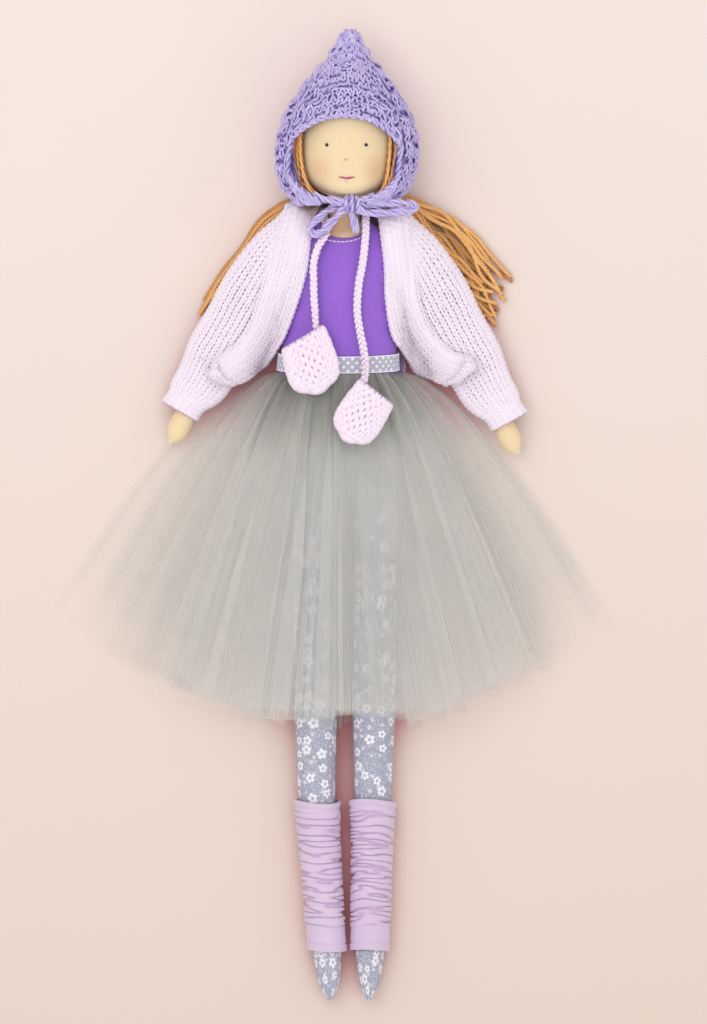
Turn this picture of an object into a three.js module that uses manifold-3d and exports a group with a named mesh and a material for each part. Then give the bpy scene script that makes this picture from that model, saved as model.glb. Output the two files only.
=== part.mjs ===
// A cloth doll in a pointed bonnet, an open cardigan and a tulle skirt, lying on its back.
// Millimetres. +Z points out of the doll's front, +Y to its head, +X to the right of a viewer above it.
// The origin is on the flat underside of the cardigan's back, under the middle of the doll's back.
import * as THREE from 'three';
import { mergeVertices } from 'three/addons/utils/BufferGeometryUtils.js';
import Module from 'manifold-3d';

const wasm = await Module();
wasm.setup();

// Gaps between pieces that touch, and how far a cutter runs past what it cuts
const fit = 0.3;
const fillingFit = 0.7;
const drapeGap = 0.9;
const overrun = 4;
const weldGap = 0.0001;

// Thickness of each cloth
const skinWall = 1.2;
const topWall = 1;
const knitWall = 3;
const sleeveWall = 2.4;
const bonnetWall = 4.5;
const jerseyWall = 1.3;
const ribbonWall = 1.2;
const tulleWall = 1.8;
const mittenWall = 1.6;

// Torso and neck. Lengths along the body are counted from the origin.
const torsoBelow = 97;
const torsoAbove = 43;
const torsoHalfWidth = 33.5;
const torsoHalfDepth = 19.5;
const waistLean = -4;
const neckRadius = 8.6;
const neckLength = 23;
const torsoFillingStart = 9;

// Head
const headLength = 65;
const headHalfWidth = 28;
const headHalfDepth = 25;
const headBase = 56.3;
const headX = 2;
const eyeRadius = 1.1;
const eyeSpread = 11;
const eyeHeight = 30.6;
const noseHeight = 22;
const noseHalfWidth = 1.2;
const mouthHeight = 12.3;
const mouthHalfWidth = 4.4;
const mouthHalfHeight = 1.3;

// Hair
const hairSide = 5.5;
const hairBack = 2.6;
const hairBase = 4;
const hairWindowHalfWidth = 24;
const hairWindowHalfHeight = 33;
const hairWindowRise = 24;
const hairStartX = 23;
const hairStartY = 49;
const hairRightReach = 63;
const hairRightDrop = 53;
const hairRightHalfWidth = 13;
const hairLeftReach = 57;
const hairLeftDrop = 46;
const hairLeftHalfWidth = 4.5;
const hairThickness = 8;

// Bonnet
const bonnetBase = 53;
const bonnetLength = 97.6;
const bonnetHalfWidth = 41;
const bonnetHalfDepth = 33.5;
const bonnetFlat = 0.5;
const bonnetPeakX = 3;
const faceWindowX = -0.8;
const faceWindowY = 77.5;
const faceWindowHalfWidth = 30.6;
const faceWindowHalfHeight = 24;
const faceWindowDepth = 6;
const windowCornerAngle = 50;

// Ties, bow and the cord of the mittens
const tieDiameter = 4.4;
const loopDiameter = 3.8;
const knotHalfWidth = 4.4;
const knotHalfHeight = 3.6;
const cordDiameter = 4.6;

// Top and waist ribbon
const topHem = 41;
const armholeRadius = 9;
const necklineHalfWidth = 15;
const necklineHalfHeight = 8.5;
const necklineX = -2;
const stitchRadius = 0.35;
const stitchInset = 2;
const necklineFromAngle = 205;
const necklineToAngle = 335;
const stitchPlaces = 14;
const ribbonWidth = 9.5;
const ribbonY = -34.4;
const ribbonSag = 2.3;

// Arms. The wrists are given as places, because the two arms lie at slightly different angles.
const shoulderX = 31.4;
const shoulderY = 37;
const armRadius = 7;
const handLength = 21;
const armInset = 0.5;
const leftWristX = -89;
const leftWristY = -63;
const rightWristX = 88.5;
const rightWristY = -69;
const wristZ = 12.3;
const threadRadius = 0.8;
const threadGrip = 2.4;

// Cardigan
const backHalfWidth = 34;
const backTop = 51;
const backHem = 47;
const collarHalfWidth = 12;
const collarDrop = 3;
const frontReach = 75;
const frontTop = 52.4;
const frontHem = 47.3;
const sleeveHalfWidth = 18.5;
const sleeveHalfDepth = 15;
const sleeveStandoff = 1.6;

// Mittens
const mittenLength = 32;
const mittenHalfWidth = 13;
const mittenHalfDepth = 4.8;
const leftMittenX = -23.2;
const leftMittenY = -22;
const leftMittenZ = 55;
const leftMittenTurn = 17;
const rightMittenX = 17.2;
const rightMittenY = -52.4;
const rightMittenZ = 55;
const rightMittenTurn = -33;

// Skirt
const skirtTop = 42;
const skirtLength = 201;
const skirtSideLength = 209;
const skirtSpread = 48;
const skirtWaistHalfWidth = 34.5;
const skirtBulge = 17;
const skirtWaistRise = 12;
const skirtHeight = 48.2;
const skirtHemHeight = 42;
const skirtEdgeHeight = 5.6;
const frontPleatDepth = 1.6;
const backPleatDepth = 1.1;
const pleats = 9;
const skirtBackTop = 47.5;

// Legs and leg warmers
const legLength = 296;
const legHalfWidth = 12.2;
const hipX = 17.5;
const leftKneeX = -16;
const leftToeX = -8.2;
const rightKneeX = 15.6;
const rightToeX = 13.4;
const kneeZ = 12.2;
const toeZ = 10.6;
const seamStandoff = 1.1;
const seamHalfThickness = 0.8;
const turningGapLength = 26;
const turningGapWidth = 2;
const hipThreadRadius = 0.7;
const warmerLength = 84;
const warmerHalfWidth = 12.2;
const warmerFold = 0.45;
const warmerFolds = 8;

// Places that follow from the sizes above
const torsoZ = knitWall + ribbonWall + topWall + 3 * fit + torsoHalfDepth;
const torsoLength = torsoBelow + torsoAbove;
const headZ = bonnetWall + hairBack + 2 * fit + headHalfDepth;
const bonnetZ = bonnetHalfDepth - bonnetFlat;

// Outlines as shares of the sizes of their piece: along, width, depth
const torsoShares = [
  [0, 0.8, 0.041], [0.05, 0.88, 0.27], [0.15, 0.97, 0.66], [0.27, 1, 0.9], [0.44, 0.93, 0.97],
  [0.62, 0.9, 1], [0.76, 0.9, 0.98], [0.89, 0.9, 0.88], [0.955, 0.84, 0.73], [1, 0.5, 0.54],
];
const sideSlopeShare = 2.5;
const kneeShare = 0.62;
const warmerStartShare = 0.62;
const turnShare = 0.3;
const skirtSplitShare = 0.002;
const leanShares = [[0, 0.3], [0.43, 1], [0.8, 0.15], [1, 0.1]];
const headShares = [
  [0, 0.5, 0.54, 0.35], [0.03, 0.68, 0.71, 0.7], [0.1, 0.84, 0.86, 0.95], [0.22, 0.95, 0.96, 1],
  [0.38, 1, 1, 1], [0.55, 1, 1, 1], [0.72, 0.9, 0.93, 1], [0.86, 0.68, 0.74, 1], [0.95, 0.42, 0.45, 1],
  [1, 0, 0, 1],
];
const bonnetShares = [
  [0, 0.66, 0.76], [0.08, 0.87, 0.92], [0.17, 0.975, 1], [0.26, 1, 1], [0.37, 1, 1], [0.52, 0.895, 0.95],
  [0.64, 0.725, 0.82], [0.74, 0.546, 0.64], [0.845, 0.32, 0.36], [0.92, 0.2, 0.22], [0.985, 0.1, 0.12],
  [1, 0, 0],
];
const sleeveShares = [
  [0, 0.81, 1], [0.15, 0.92, 0.93], [0.4, 1, 0.8], [0.7, 0.95, 0.7], [0.88, 0.8, 0.6], [1, 0.7, 0.57],
];
const sleeveDropShares = [[0, 0], [0.15, 0.26], [0.4, 0.68], [0.7, 0.94], [1, 1]];
const armShares = [
  [0, 0.98, 0.98], [0.2, 1, 1], [0.5, 0.95, 0.95], [0.85, 0.8, 0.8], [0.9, 0.92, 0.82], [0.95, 0.82, 0.7],
  [0.985, 0.45, 0.45], [1, 0, 0],
];
const legShares = [
  [0, 0.86, 0.066], [0.035, 0.95, 0.5], [0.09, 1, 0.9], [0.2, 1, 1], [0.45, 0.985, 0.985], [0.6, 0.86, 0.86],
  [0.66, 0.76, 0.76], [0.72, 0.7, 0.7], [0.85, 0.7, 0.7], [0.91, 0.66, 0.67], [0.95, 0.5, 0.56],
  [0.985, 0.25, 0.28], [1, 0, 0],
];
const warmerHemShares = [[0, 0], [0.09, 0], [0.15, 1], [0.88, 1], [0.93, 0], [1, 0]];
const turningGapShare = 0.22;
const warmerShares = [[0, 1], [0.07, 1], [0.13, 0.9], [0.5, 0.85], [0.92, 0.88], [1, 0.88]];
const mittenShares = [[0, 0.88], [0.3, 0.97], [0.6, 1], [0.85, 0.78], [0.95, 0.5], [1, 0]];
// Edges of the cardigan's fronts, as shares of their reach and of their length: across, down
const leftEdgeShares = [[0.19, 0], [0.28, 0.16], [0.31, 0.35], [0.39, 0.56], [0.49, 0.76], [0.605, 0.875],
  [0.76, 0.965], [0.88, 1]];
const leftFoldShares = [[0.41, 0.03], [0.485, 0.17], [0.545, 0.33], [0.605, 0.49], [0.68, 0.656],
  [0.785, 0.78], [0.92, 0.865], [1, 0.92]];
const rightEdgeShares = [[0.24, 0], [0.29, 0.13], [0.32, 0.31], [0.33, 0.51], [0.37, 0.71], [0.455, 0.82],
  [0.59, 0.935], [0.8, 1]];
const rightFoldShares = [[0.45, 0.03], [0.47, 0.17], [0.5, 0.33], [0.525, 0.51], [0.59, 0.66], [0.7, 0.77],
  [0.82, 0.84], [0.96, 0.87]];
const hairSpineShares = [[0, 0], [0.26, 0.02], [0.47, 0.27], [0.69, 0.61], [0.86, 0.8], [1, 1]];
const hairWidthShares = [[0, 0.45], [0.3, 0.7], [0.7, 1], [0.92, 0.8], [1, 0.4]];
const hairRingShares = [0, 0.12, 0.25, 0.4, 0.55, 0.7, 0.85, 1];
const hairOnFloorShare = 0.3;

// Routes of cords, points chosen along each real one
const tieLeftRoute = [[-17.6, 57, 51.4], [-13, 54.9, 51.2], [-8, 53.6, 50.8], [-3.2, 52.8, 50.3]];
const tieRightRoute = [[8.3, 52.9, 50.3], [11, 53.1, 50.5], [14, 54, 50.9], [16.6, 56, 51.3]];
const loopLeftRoute = [[-2.4, 51, 46.2], [-8, 48.4, 46.8], [-13.5, 44.8, 47.2], [-18.2, 40.9, 47.8],
  [-18.8, 37.4, 48.8], [-15.2, 36.2, 50.2], [-10, 39.3, 51], [-5.4, 43.6, 50.8], [-1.8, 48, 50.2]];
const loopRightRoute = [[7.4, 51, 46], [13, 49.2, 47.2], [21, 49.4, 48.4], [30, 50.4, 48.6],
  [37, 50.6, 48.2], [39.6, 48, 48], [36.5, 45.2, 48.4], [28, 43.9, 49.4], [18, 43.4, 49.6],
  [11.5, 45, 50.4], [6.8, 48.2, 51]];
const tailRoute = [[2.8, 47.4, 48.6], [3.6, 44.8, 48.2], [5, 41, 47.8], [5.4, 37.2, 47.4]];
const mittenCordRoute = [[-15.6, -18.8, 54], [-16.4, -9, 51], [-17.2, 1, 49.8], [-17.4, 11, 49.6],
  [-17.4, 20.2, 49], [-14.8, 29.6, 47.8], [-10.4, 36.6, 45.6], [-10.8, 42.6, 40.6], [-12.2, 47, 33],
  [-12.4, 49.4, 23], [-7.8, 50.2, 13.8], [0, 50.4, 11.2], [7.8, 50.2, 13.8], [12.4, 50, 23],
  [12.8, 49.6, 33], [11.6, 46.2, 40.6], [11.6, 38, 44.6], [11, 30, 47], [9.8, 20, 48.4], [7.6, 8, 49.4],
  [6.8, -6, 49.6], [8.4, -18, 49.8], [10.4, -28, 51.2], [11.4, -38, 53.4], [10.6, -46.4, 55]];
const knotCentre = [2.4, 51.6, 49.4];

const degrees = THREE.MathUtils.degToRad;
const vec = (x, y, z) => new THREE.Vector3(x, y, z);

// Values in the columns of a table after the first, at a place given in its first column
function along(table, share) {
  const last = table.length - 1;
  const next = Math.min(last, Math.max(1, table.findIndex((row) => row[0] >= share)));
  const upper = share >= table[last][0] ? last : next;
  const [from, to] = [table[upper - 1], table[upper]];
  const part = THREE.MathUtils.clamp((share - from[0]) / (to[0] - from[0]), 0, 1);
  return from.slice(1).map((value, column) => THREE.MathUtils.lerp(value, to[column + 1], part));
}

// Joins equal vertices, drops triangles of no area and turns the faces outwards
function weld(source) {
  const geometry = source.clone();
  geometry.deleteAttribute('normal');
  geometry.deleteAttribute('uv');
  const merged = mergeVertices(geometry, weldGap);
  const position = merged.attributes.position;
  const corners = [vec(), vec(), vec()];
  const kept = [];
  let volume = 0;
  for (let i = 0; i < merged.index.count; i += 3) {
    const ids = [0, 1, 2].map((corner) => merged.index.getX(i + corner));
    corners.forEach((corner, k) => corner.fromBufferAttribute(position, ids[k]));
    if (new Set(ids).size === 3) {
      volume += corners[0].dot(corners[1].clone().cross(corners[2]));
      kept.push(ids);
    }
  }
  merged.setIndex(kept.flatMap((ids) => (volume < 0 ? [ids[0], ids[2], ids[1]] : ids)));
  return merged;
}

function toSolid(geometry) {
  return new wasm.Manifold(new wasm.Mesh({
    numProp: 3,
    vertProperties: Float32Array.from(geometry.attributes.position.array),
    triVerts: Uint32Array.from(geometry.index.array),
  }));
}

function toGeometry(solid) {
  const mesh = solid.getMesh();
  const geometry = new THREE.BufferGeometry();
  geometry.setAttribute('position', new THREE.BufferAttribute(mesh.vertProperties, 3));
  geometry.setIndex(new THREE.BufferAttribute(mesh.triVerts, 1));
  return geometry;
}

function cut(geometry, ...cutters) {
  return toGeometry(cutters.reduce((solid, cutter) => solid.subtract(toSolid(cutter)), toSolid(geometry)));
}

// A ring is the centre of a section and its two half axes
const ring = (centre, u, v) => ({ centre, u, v });
const tip = (centre) => ring(centre, vec(), vec());

// Skins rings in their order. Where no tip closes the first, the skin runs on from the last ring to it.
function loft(rings, sides, floor = -Infinity) {
  const rows = rings[0].u.length() > 0 ? [...rings, rings[0]] : rings;
  const geometry = new THREE.LatheGeometry(rows.map((row, i) => new THREE.Vector2(1, i)), sides);
  const position = geometry.attributes.position;
  for (let i = 0; i < position.count; i += 1) {
    const row = rows[Math.round(position.getY(i))];
    const point = row.centre.clone().addScaledVector(row.u, position.getX(i));
    point.addScaledVector(row.v, position.getZ(i));
    position.setXYZ(i, point.x, point.y, Math.max(point.z, floor));
  }
  return weld(geometry);
}

// A closed slab between two surfaces that are functions of two shares
function slab(lower, upper, across, down) {
  const geometry = new THREE.BoxGeometry(1, 1, 1, across, down, 1);
  const position = geometry.attributes.position;
  for (let i = 0; i < position.count; i += 1) {
    const surface = position.getZ(i) > 0 ? upper : lower;
    const point = surface(position.getX(i) + 1 / 2, position.getY(i) + 1 / 2);
    position.setXYZ(i, point.x, point.y, point.z);
  }
  return weld(geometry);
}

function tube(route, diameter, steps) {
  const section = new THREE.Shape().absarc(0, 0, diameter / 2, 0, 2 * Math.PI);
  const path = new THREE.CatmullRomCurve3(route.map((point) => vec(...point)));
  return weld(new THREE.ExtrudeGeometry(section, { steps, extrudePath: path, curveSegments: 4 }));
}

// A round rod along X, centred on the shoulders' axis
function shoulderRod(radius, halfLength) {
  const geometry = new THREE.CylinderGeometry(radius, radius, 2 * halfLength, 10).rotateZ(Math.PI / 2);
  return weld(geometry.translate(0, shoulderY, torsoZ));
}

const threadReach = shoulderX + threadGrip;
const threadBore = shoulderRod(threadRadius + fit, threadReach + fit);

// Torso and what lies close on it
const torsoX = (y) => waistLean * along(leanShares, (y + torsoBelow) / torsoLength)[0];

function torsoRing(y, grow = 0, tilt = 0) {
  const [width, depth] = along(torsoShares, (y + torsoBelow) / torsoLength);
  const halfWidth = width * torsoHalfWidth + grow;
  const halfDepth = depth * torsoHalfDepth + grow;
  return ring(vec(torsoX(y), y, torsoZ), vec(halfWidth, 0, 0), vec(0, -tilt, halfDepth));
}

const torsoYs = torsoShares.map(([share]) => share * torsoLength - torsoBelow);
const neckRing = (y, radius) => ring(vec(torsoX(torsoAbove), y, torsoZ), vec(radius, 0, 0), vec(0, 0, radius));
const neckFoot = torsoAbove + skinWall;
const neckTop = torsoAbove + neckLength;
const fillingYs = [torsoFillingStart - torsoBelow, ...torsoYs.slice(2)];

function torsoSkin() {
  const seamY = torsoYs[0] + seamStandoff + seamHalfThickness / 2;
  const seam = torsoRing(torsoYs[0]);
  seam.centre.setY(seamY);
  const outer = [tip(seam.centre), seam, ...torsoYs.slice(1).map((y) => torsoRing(y)),
    neckRing(neckFoot + skinWall, neckRadius), neckRing(neckTop, neckRadius)];
  const inner = [neckRing(neckTop, neckRadius - skinWall), neckRing(neckFoot, neckRadius - skinWall),
    ...fillingYs.map((y) => torsoRing(y, -skinWall)).reverse(),
    tip(vec(torsoX(fillingYs[0]), fillingYs[0], torsoZ))];
  return cut(loft([...outer, ...inner], 20), threadBore);
}

function torsoFilling() {
  const inset = skinWall + fillingFit;
  const start = fillingYs[0] + 3 * fillingFit;
  const rings = [tip(vec(torsoX(start), start, torsoZ)), torsoRing(start, -inset),
    ...fillingYs.slice(1).map((y) => torsoRing(y, -inset)), neckRing(neckFoot - fillingFit, neckRadius - inset),
    neckRing(neckTop - skinWall, neckRadius - inset), tip(vec(torsoX(torsoAbove), neckTop - skinWall, torsoZ))];
  return cut(loft(rings, 14), threadBore);
}

function sleevelessTop() {
  const ys = [-topHem, ...torsoYs.filter((y) => y > -topHem)];
  const inner = ys.map((y) => torsoRing(y, fit));
  const outer = ys.map((y) => torsoRing(y, fit + topWall)).reverse();
  const scoop = new THREE.Shape();
  scoop.absellipse(necklineX, torsoAbove, necklineHalfWidth, necklineHalfHeight, 0, 2 * Math.PI);
  const depth = torsoHalfDepth + overrun;
  const scoopCutter = new THREE.ExtrudeGeometry(scoop, { depth, bevelEnabled: false, curveSegments: 12 });
  scoopCutter.translate(0, 0, torsoZ);
  const armholes = shoulderRod(armholeRadius, torsoHalfWidth + overrun);
  return cut(loft([...inner, ...outer], 20), weld(scoopCutter), armholes);
}

// Height at which cloth lies over a rounded form, falling steeply beside it
function heightOver(centreZ, halfWidth, halfDepth, distance) {
  const part = Math.min(1, distance / halfWidth);
  return centreZ + halfDepth * Math.sqrt(1 - part * part) - sideSlopeShare * Math.max(0, distance - halfWidth);
}

function torsoHeight(x, y, grow = 0) {
  const [width, depth] = along(torsoShares, (y + torsoBelow) / torsoLength);
  const past = Math.max(0, y - torsoAbove);
  const cover = topWall + fit + grow;
  const height = heightOver(torsoZ, width * torsoHalfWidth + cover, depth * torsoHalfDepth + cover,
    Math.abs(x - torsoX(y)));
  return height * Math.exp(-past * past / torsoHalfDepth);
}

function necklineStitching() {
  const route = Array.from({ length: stitchPlaces + 1 }, (_, i) => {
    const angle = degrees(THREE.MathUtils.lerp(necklineFromAngle, necklineToAngle, i / stitchPlaces));
    const x = necklineX + (necklineHalfWidth + stitchInset) * Math.cos(angle);
    const y = torsoAbove + (necklineHalfHeight + stitchInset) * Math.sin(angle);
    return [x, y, torsoHeight(x, y) + fit + stitchRadius];
  });
  return tube(route, 2 * stitchRadius, 2 * stitchPlaces);
}

function waistRibbon() {
  const inner = fit + topWall + fit;
  const low = ribbonY - ribbonWidth / 2;
  const high = ribbonY + ribbonWidth / 2;
  const rings = [torsoRing(low, inner, ribbonSag), torsoRing(low, inner + ribbonWall, ribbonSag),
    torsoRing(high, inner + ribbonWall, ribbonSag), torsoRing(high, inner, ribbonSag)];
  return loft(rings, 28);
}

// Head, face, hair and bonnet
function headRing([share, width, depth, forward], growWidth = 0, growDepth = growWidth, inset = 0) {
  const y = headBase + inset + share * (headLength - 2 * inset);
  const halfWidth = width > 0 ? width * headHalfWidth + growWidth : 0;
  const halfDepth = width > 0 ? depth * headHalfDepth + growDepth : 0;
  const z = THREE.MathUtils.lerp(torsoZ, headZ, forward);
  return ring(vec(headX * forward, y, z), vec(halfWidth, 0, 0), vec(0, 0, halfDepth));
}

const neckHoleRing = (y) => neckRing(y, neckRadius + 2 * fit);
const neckHoleY = headBase + 2 * skinWall;

function headSkin() {
  const outer = headShares.map((row) => headRing(row));
  const inner = headShares.map((row) => headRing(row, -skinWall, -skinWall, skinWall)).reverse();
  return loft([neckHoleRing(neckHoleY), ...outer, ...inner, neckHoleRing(neckHoleY + skinWall)], 18);
}

function headFilling() {
  const inset = skinWall + fillingFit;
  const start = (neckTop + fit - headBase - inset) / (headLength - 2 * inset);
  const rows = [[start, ...along(headShares, start)], ...headShares.filter((row) => row[0] > start)];
  const rings = rows.map((row) => headRing(row, -inset, -inset, inset));
  return loft([tip(rings[0].centre), ...rings], 12);
}

function headHeight(x, y) {
  const [width, depth] = along(headShares, (y - headBase) / headLength);
  const part = (x - headX) / (width * headHalfWidth);
  return headZ + depth * headHalfDepth * Math.sqrt(1 - part * part);
}

// A small rounded stitch that lies on the face
function faceStitch(x, rise, halfWidth, halfHeight) {
  const halfDepth = Math.min(halfHeight, eyeRadius) / 2;
  const geometry = new THREE.SphereGeometry(1, 10, 6).scale(halfWidth, halfHeight, halfDepth);
  const y = headBase + rise;
  return weld(geometry.translate(x, y, headHeight(x, y) + fit + halfDepth));
}

function window(centreX, centreY, halfWidth, halfHeight, start) {
  const shape = new THREE.Shape();
  const [from, to] = [degrees(-windowCornerAngle), degrees(180 + windowCornerAngle)];
  shape.moveTo(centreX - halfWidth * Math.cos(from), bonnetBase - overrun);
  shape.lineTo(centreX + halfWidth * Math.cos(from), bonnetBase - overrun);
  shape.absellipse(centreX, centreY, halfWidth, halfHeight, from, to);
  const depth = bonnetHalfDepth + overrun;
  const geometry = new THREE.ExtrudeGeometry(shape, { depth, bevelEnabled: false, curveSegments: 14 });
  return weld(geometry.translate(0, 0, start));
}

function hairCrown() {
  const rows = headShares.filter((row) => row[0] > hairBase / headLength);
  const outer = rows.map((row) => headRing(row, hairSide, hairBack)).slice(0, -1);
  const inner = rows.map((row) => headRing(row, fit)).slice(0, -1);
  const crown = headBase + headLength;
  const rings = [tip(vec(headX, crown + hairBack, headZ)), ...outer.reverse(), ...inner,
    tip(vec(headX, crown + fit, headZ))];
  return cut(loft(rings, 18), window(headX, headBase + hairWindowRise, hairWindowHalfWidth,
    hairWindowHalfHeight, headZ + faceWindowDepth));
}

function bonnetRing([share, width, depth], grow = 0) {
  const centre = vec(bonnetPeakX * share, bonnetBase + share * bonnetLength, bonnetZ);
  return ring(centre, vec(width * bonnetHalfWidth + grow, 0, 0), vec(0, 0, depth * bonnetHalfDepth + grow));
}

function bonnet() {
  const outer = bonnetShares.map((row) => bonnetRing(row));
  const hollow = bonnetShares.filter((row) => row[1] * bonnetHalfWidth > 2 * bonnetWall);
  const top = hollow[hollow.length - 1];
  const inner = hollow.map((row) => bonnetRing(row, -bonnetWall));
  outer[outer.length - 1] = tip(outer[outer.length - 1].centre);
  const rings = [tip(bonnetRing(top).centre.setY(bonnetRing(top).centre.y + fit)), ...inner.reverse(), ...outer];
  return cut(loft(rings, 24, 0), window(faceWindowX, faceWindowY, faceWindowHalfWidth, faceWindowHalfHeight,
    bonnetZ + faceWindowDepth));
}

function bowKnot() {
  const geometry = new THREE.SphereGeometry(1, 12, 8).scale(knotHalfWidth, knotHalfHeight, knotHalfHeight);
  return weld(geometry.translate(...knotCentre));
}

// Arms and sleeves
function armFrame(side) {
  const wrist = side < 0 ? vec(leftWristX, leftWristY, wristZ) : vec(rightWristX, rightWristY, wristZ);
  const shoulder = vec(side * shoulderX, shoulderY, torsoZ);
  const way = wrist.clone().sub(shoulder).setZ(0);
  return { side, shoulder, wrist, reach: way.length(), way: way.normalize() };
}

// A section across the arm. It stands square to X at the shoulder and turns square to the arm.
function armRing(frame, share, halfWidth, halfDepth) {
  const drop = along(sleeveDropShares, share)[0];
  const centre = frame.shoulder.clone().lerp(frame.wrist, share);
  centre.z = THREE.MathUtils.lerp(frame.shoulder.z, frame.wrist.z, drop);
  const square = Math.atan2(-frame.way.y, frame.side * frame.way.x);
  const turn = square * THREE.MathUtils.smoothstep(share, 0, turnShare);
  const across = vec(frame.side * Math.sin(turn), Math.cos(turn), 0);
  return ring(centre, across.multiplyScalar(halfWidth), vec(0, 0, halfDepth));
}

function sleeveRings(frame, grow) {
  return sleeveShares.map(([share, width, depth]) => {
    const section = armRing(frame, share, width * sleeveHalfWidth + grow, depth * sleeveHalfDepth + grow);
    section.centre.x += frame.side * sleeveStandoff;
    return section;
  });
}

function sleeve(frame) {
  return loft([...sleeveRings(frame, -sleeveWall), ...sleeveRings(frame, 0).reverse()], 16);
}

// The room that a sleeve and its hand take up, with a gap round them
function sleeveRoom(frame) {
  const rings = sleeveRings(frame, drapeGap);
  return loft([tip(rings[0].centre), ...rings, tip(rings[rings.length - 1].centre)], 16);
}

function armRings(frame, grow, start) {
  const whole = (frame.reach + handLength) / frame.reach;
  return armShares.map(([share, width, depth]) => {
    const place = Math.max(share * whole, start / frame.reach);
    const size = width > 0 ? grow : 0;
    const shorter = width > 0 ? 0 : grow / frame.reach;
    return armRing(frame, place + shorter, width * armRadius + size, depth * armRadius + size);
  });
}

function armSkin(frame) {
  return loft([...armRings(frame, 0, 0), ...armRings(frame, -skinWall, 0).reverse()], 12);
}

function armFilling(frame) {
  const rings = armRings(frame, -skinWall - fillingFit, armInset);
  return cut(loft([tip(rings[0].centre), ...rings], 8), threadBore);
}

// The room that an arm and its hand take up
function handRoom(frame) {
  const rings = armRings(frame, drapeGap, 0);
  return loft([tip(rings[0].centre), ...rings], 12);
}

function sleeveHeight(frame, x, y, grow) {
  const from = vec(x, y, 0).sub(frame.shoulder).setZ(0);
  const share = THREE.MathUtils.clamp(from.dot(frame.way) / frame.reach, 0, 1);
  const [width, depth] = along(sleeveShares, share);
  const beside = from.addScaledVector(frame.way, -share * frame.reach).length();
  const drop = along(sleeveDropShares, share)[0];
  const centre = THREE.MathUtils.lerp(frame.shoulder.z, frame.wrist.z, drop);
  return heightOver(centre, width * sleeveHalfWidth + grow, depth * sleeveHalfDepth + grow, beside);
}

// Cardigan
function cardiganBack() {
  const shape = new THREE.Shape();
  shape.moveTo(-backHalfWidth, -backHem);
  shape.lineTo(backHalfWidth, -backHem);
  shape.lineTo(backHalfWidth, backTop - 4 * collarDrop);
  shape.lineTo(backHalfWidth - collarDrop, backTop - collarDrop);
  shape.lineTo(collarHalfWidth, backTop);
  shape.quadraticCurveTo(0, backTop - 2 * collarDrop, -collarHalfWidth, backTop);
  shape.lineTo(collarDrop - backHalfWidth, backTop - collarDrop);
  shape.lineTo(-backHalfWidth, backTop - 4 * collarDrop);
  return weld(new THREE.ExtrudeGeometry(shape, { depth: knitWall, bevelEnabled: false, curveSegments: 6 }));
}

// A front lies on the torso's side and on the sleeve, between its free edge and the fold beside the sleeve
function cardiganFront(frame, edge, fold) {
  const length = frontTop + frontHem;
  const curves = [edge, fold].map((shares) => new THREE.SplineCurve(shares.map(([across, down]) => (
    new THREE.Vector2(frame.side * across * frontReach, frontTop - down * length)))));
  const place = (across, down) => {
    const [inner, outer] = curves.map((curve) => curve.getPoint(down));
    return inner.lerp(outer, across);
  };
  const lift = (height) => (across, down) => {
    const point = place(across, down);
    const under = Math.max(sleeveHeight(frame, point.x, point.y, drapeGap),
      torsoHeight(point.x, point.y, drapeGap), knitWall + drapeGap);
    return vec(point.x, point.y, under + height);
  };
  return slab(lift(0), lift(knitWall), 6, 18);
}

// Hair that hangs out of the bonnet's neck opening, over the cardigan's top edge and down beside the sleeve
function hairBunch(frame, reach, drop, halfWidth) {
  const places = hairSpineShares.map(([across, down]) => (
    vec(frame.side * (hairStartX + across * reach), hairStartY - down * drop, 0)));
  const curve = new THREE.CatmullRomCurve3(places);
  const rings = hairRingShares.map((share) => {
    const rise = knitWall * (1 - THREE.MathUtils.smoothstep(share, hairOnFloorShare / 2, hairOnFloorShare));
    const width = along(hairWidthShares, share)[0] * halfWidth;
    const thick = hairThickness / 2 * Math.min(1, along(hairWidthShares, share)[0] + 1 / 4);
    const centre = curve.getPoint(share).setZ(thick + fit + rise);
    const way = curve.getTangent(share);
    return ring(centre, vec(-way.y, way.x, 0).multiplyScalar(width), vec(0, 0, thick));
  });
  return cut(loft([tip(rings[0].centre), ...rings, tip(rings[rings.length - 1].centre)], 10), sleeveRoom(frame));
}

// A mitten is a flat pouch, open where its cord is tied on
function mitten(x, y, z, turn) {
  const row = (share, width, grow) => {
    const size = width > 0 ? width * mittenHalfWidth + grow : 0;
    const depth = width > 0 ? width * mittenHalfDepth + grow : 0;
    const shorter = width > 0 ? 0 : grow;
    return ring(vec(0, -share * mittenLength - shorter, 0), vec(size, 0, 0), vec(0, 0, depth));
  };
  const outer = mittenShares.map(([share, width]) => row(share, width, 0));
  const inner = mittenShares.map(([share, width]) => row(share, width, -mittenWall));
  const geometry = loft([...outer.reverse(), ...inner], 16);
  return geometry.rotateZ(degrees(turn)).translate(x, y, z);
}

// Skirt. A place on it is its share across, from -1 to 1, and down, from the waist to the hem.
function skirtPlace(across, down) {
  const angle = degrees(skirtSpread) * across;
  const length = THREE.MathUtils.lerp(skirtLength, skirtSideLength, across * across);
  const waist = vec(waistLean + skirtWaistHalfWidth * Math.sin(across * Math.PI / 2),
    ribbonSag * across * across - skirtTop, 0);
  const hem = vec(waistLean + length * Math.sin(angle), skirtWaistRise - skirtTop - length * Math.cos(angle), 0);
  const bulge = skirtBulge * across * across * Math.sin(Math.PI * down ** 0.6);
  const side = Math.sign(across);
  return waist.lerp(hem, down).add(vec(side * bulge * Math.cos(degrees(skirtSpread)), bulge / 2, 0));
}

const pleat = (across, down) => Math.min(1, 4 * down) * Math.cos(2 * Math.PI * pleats * across);

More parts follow.
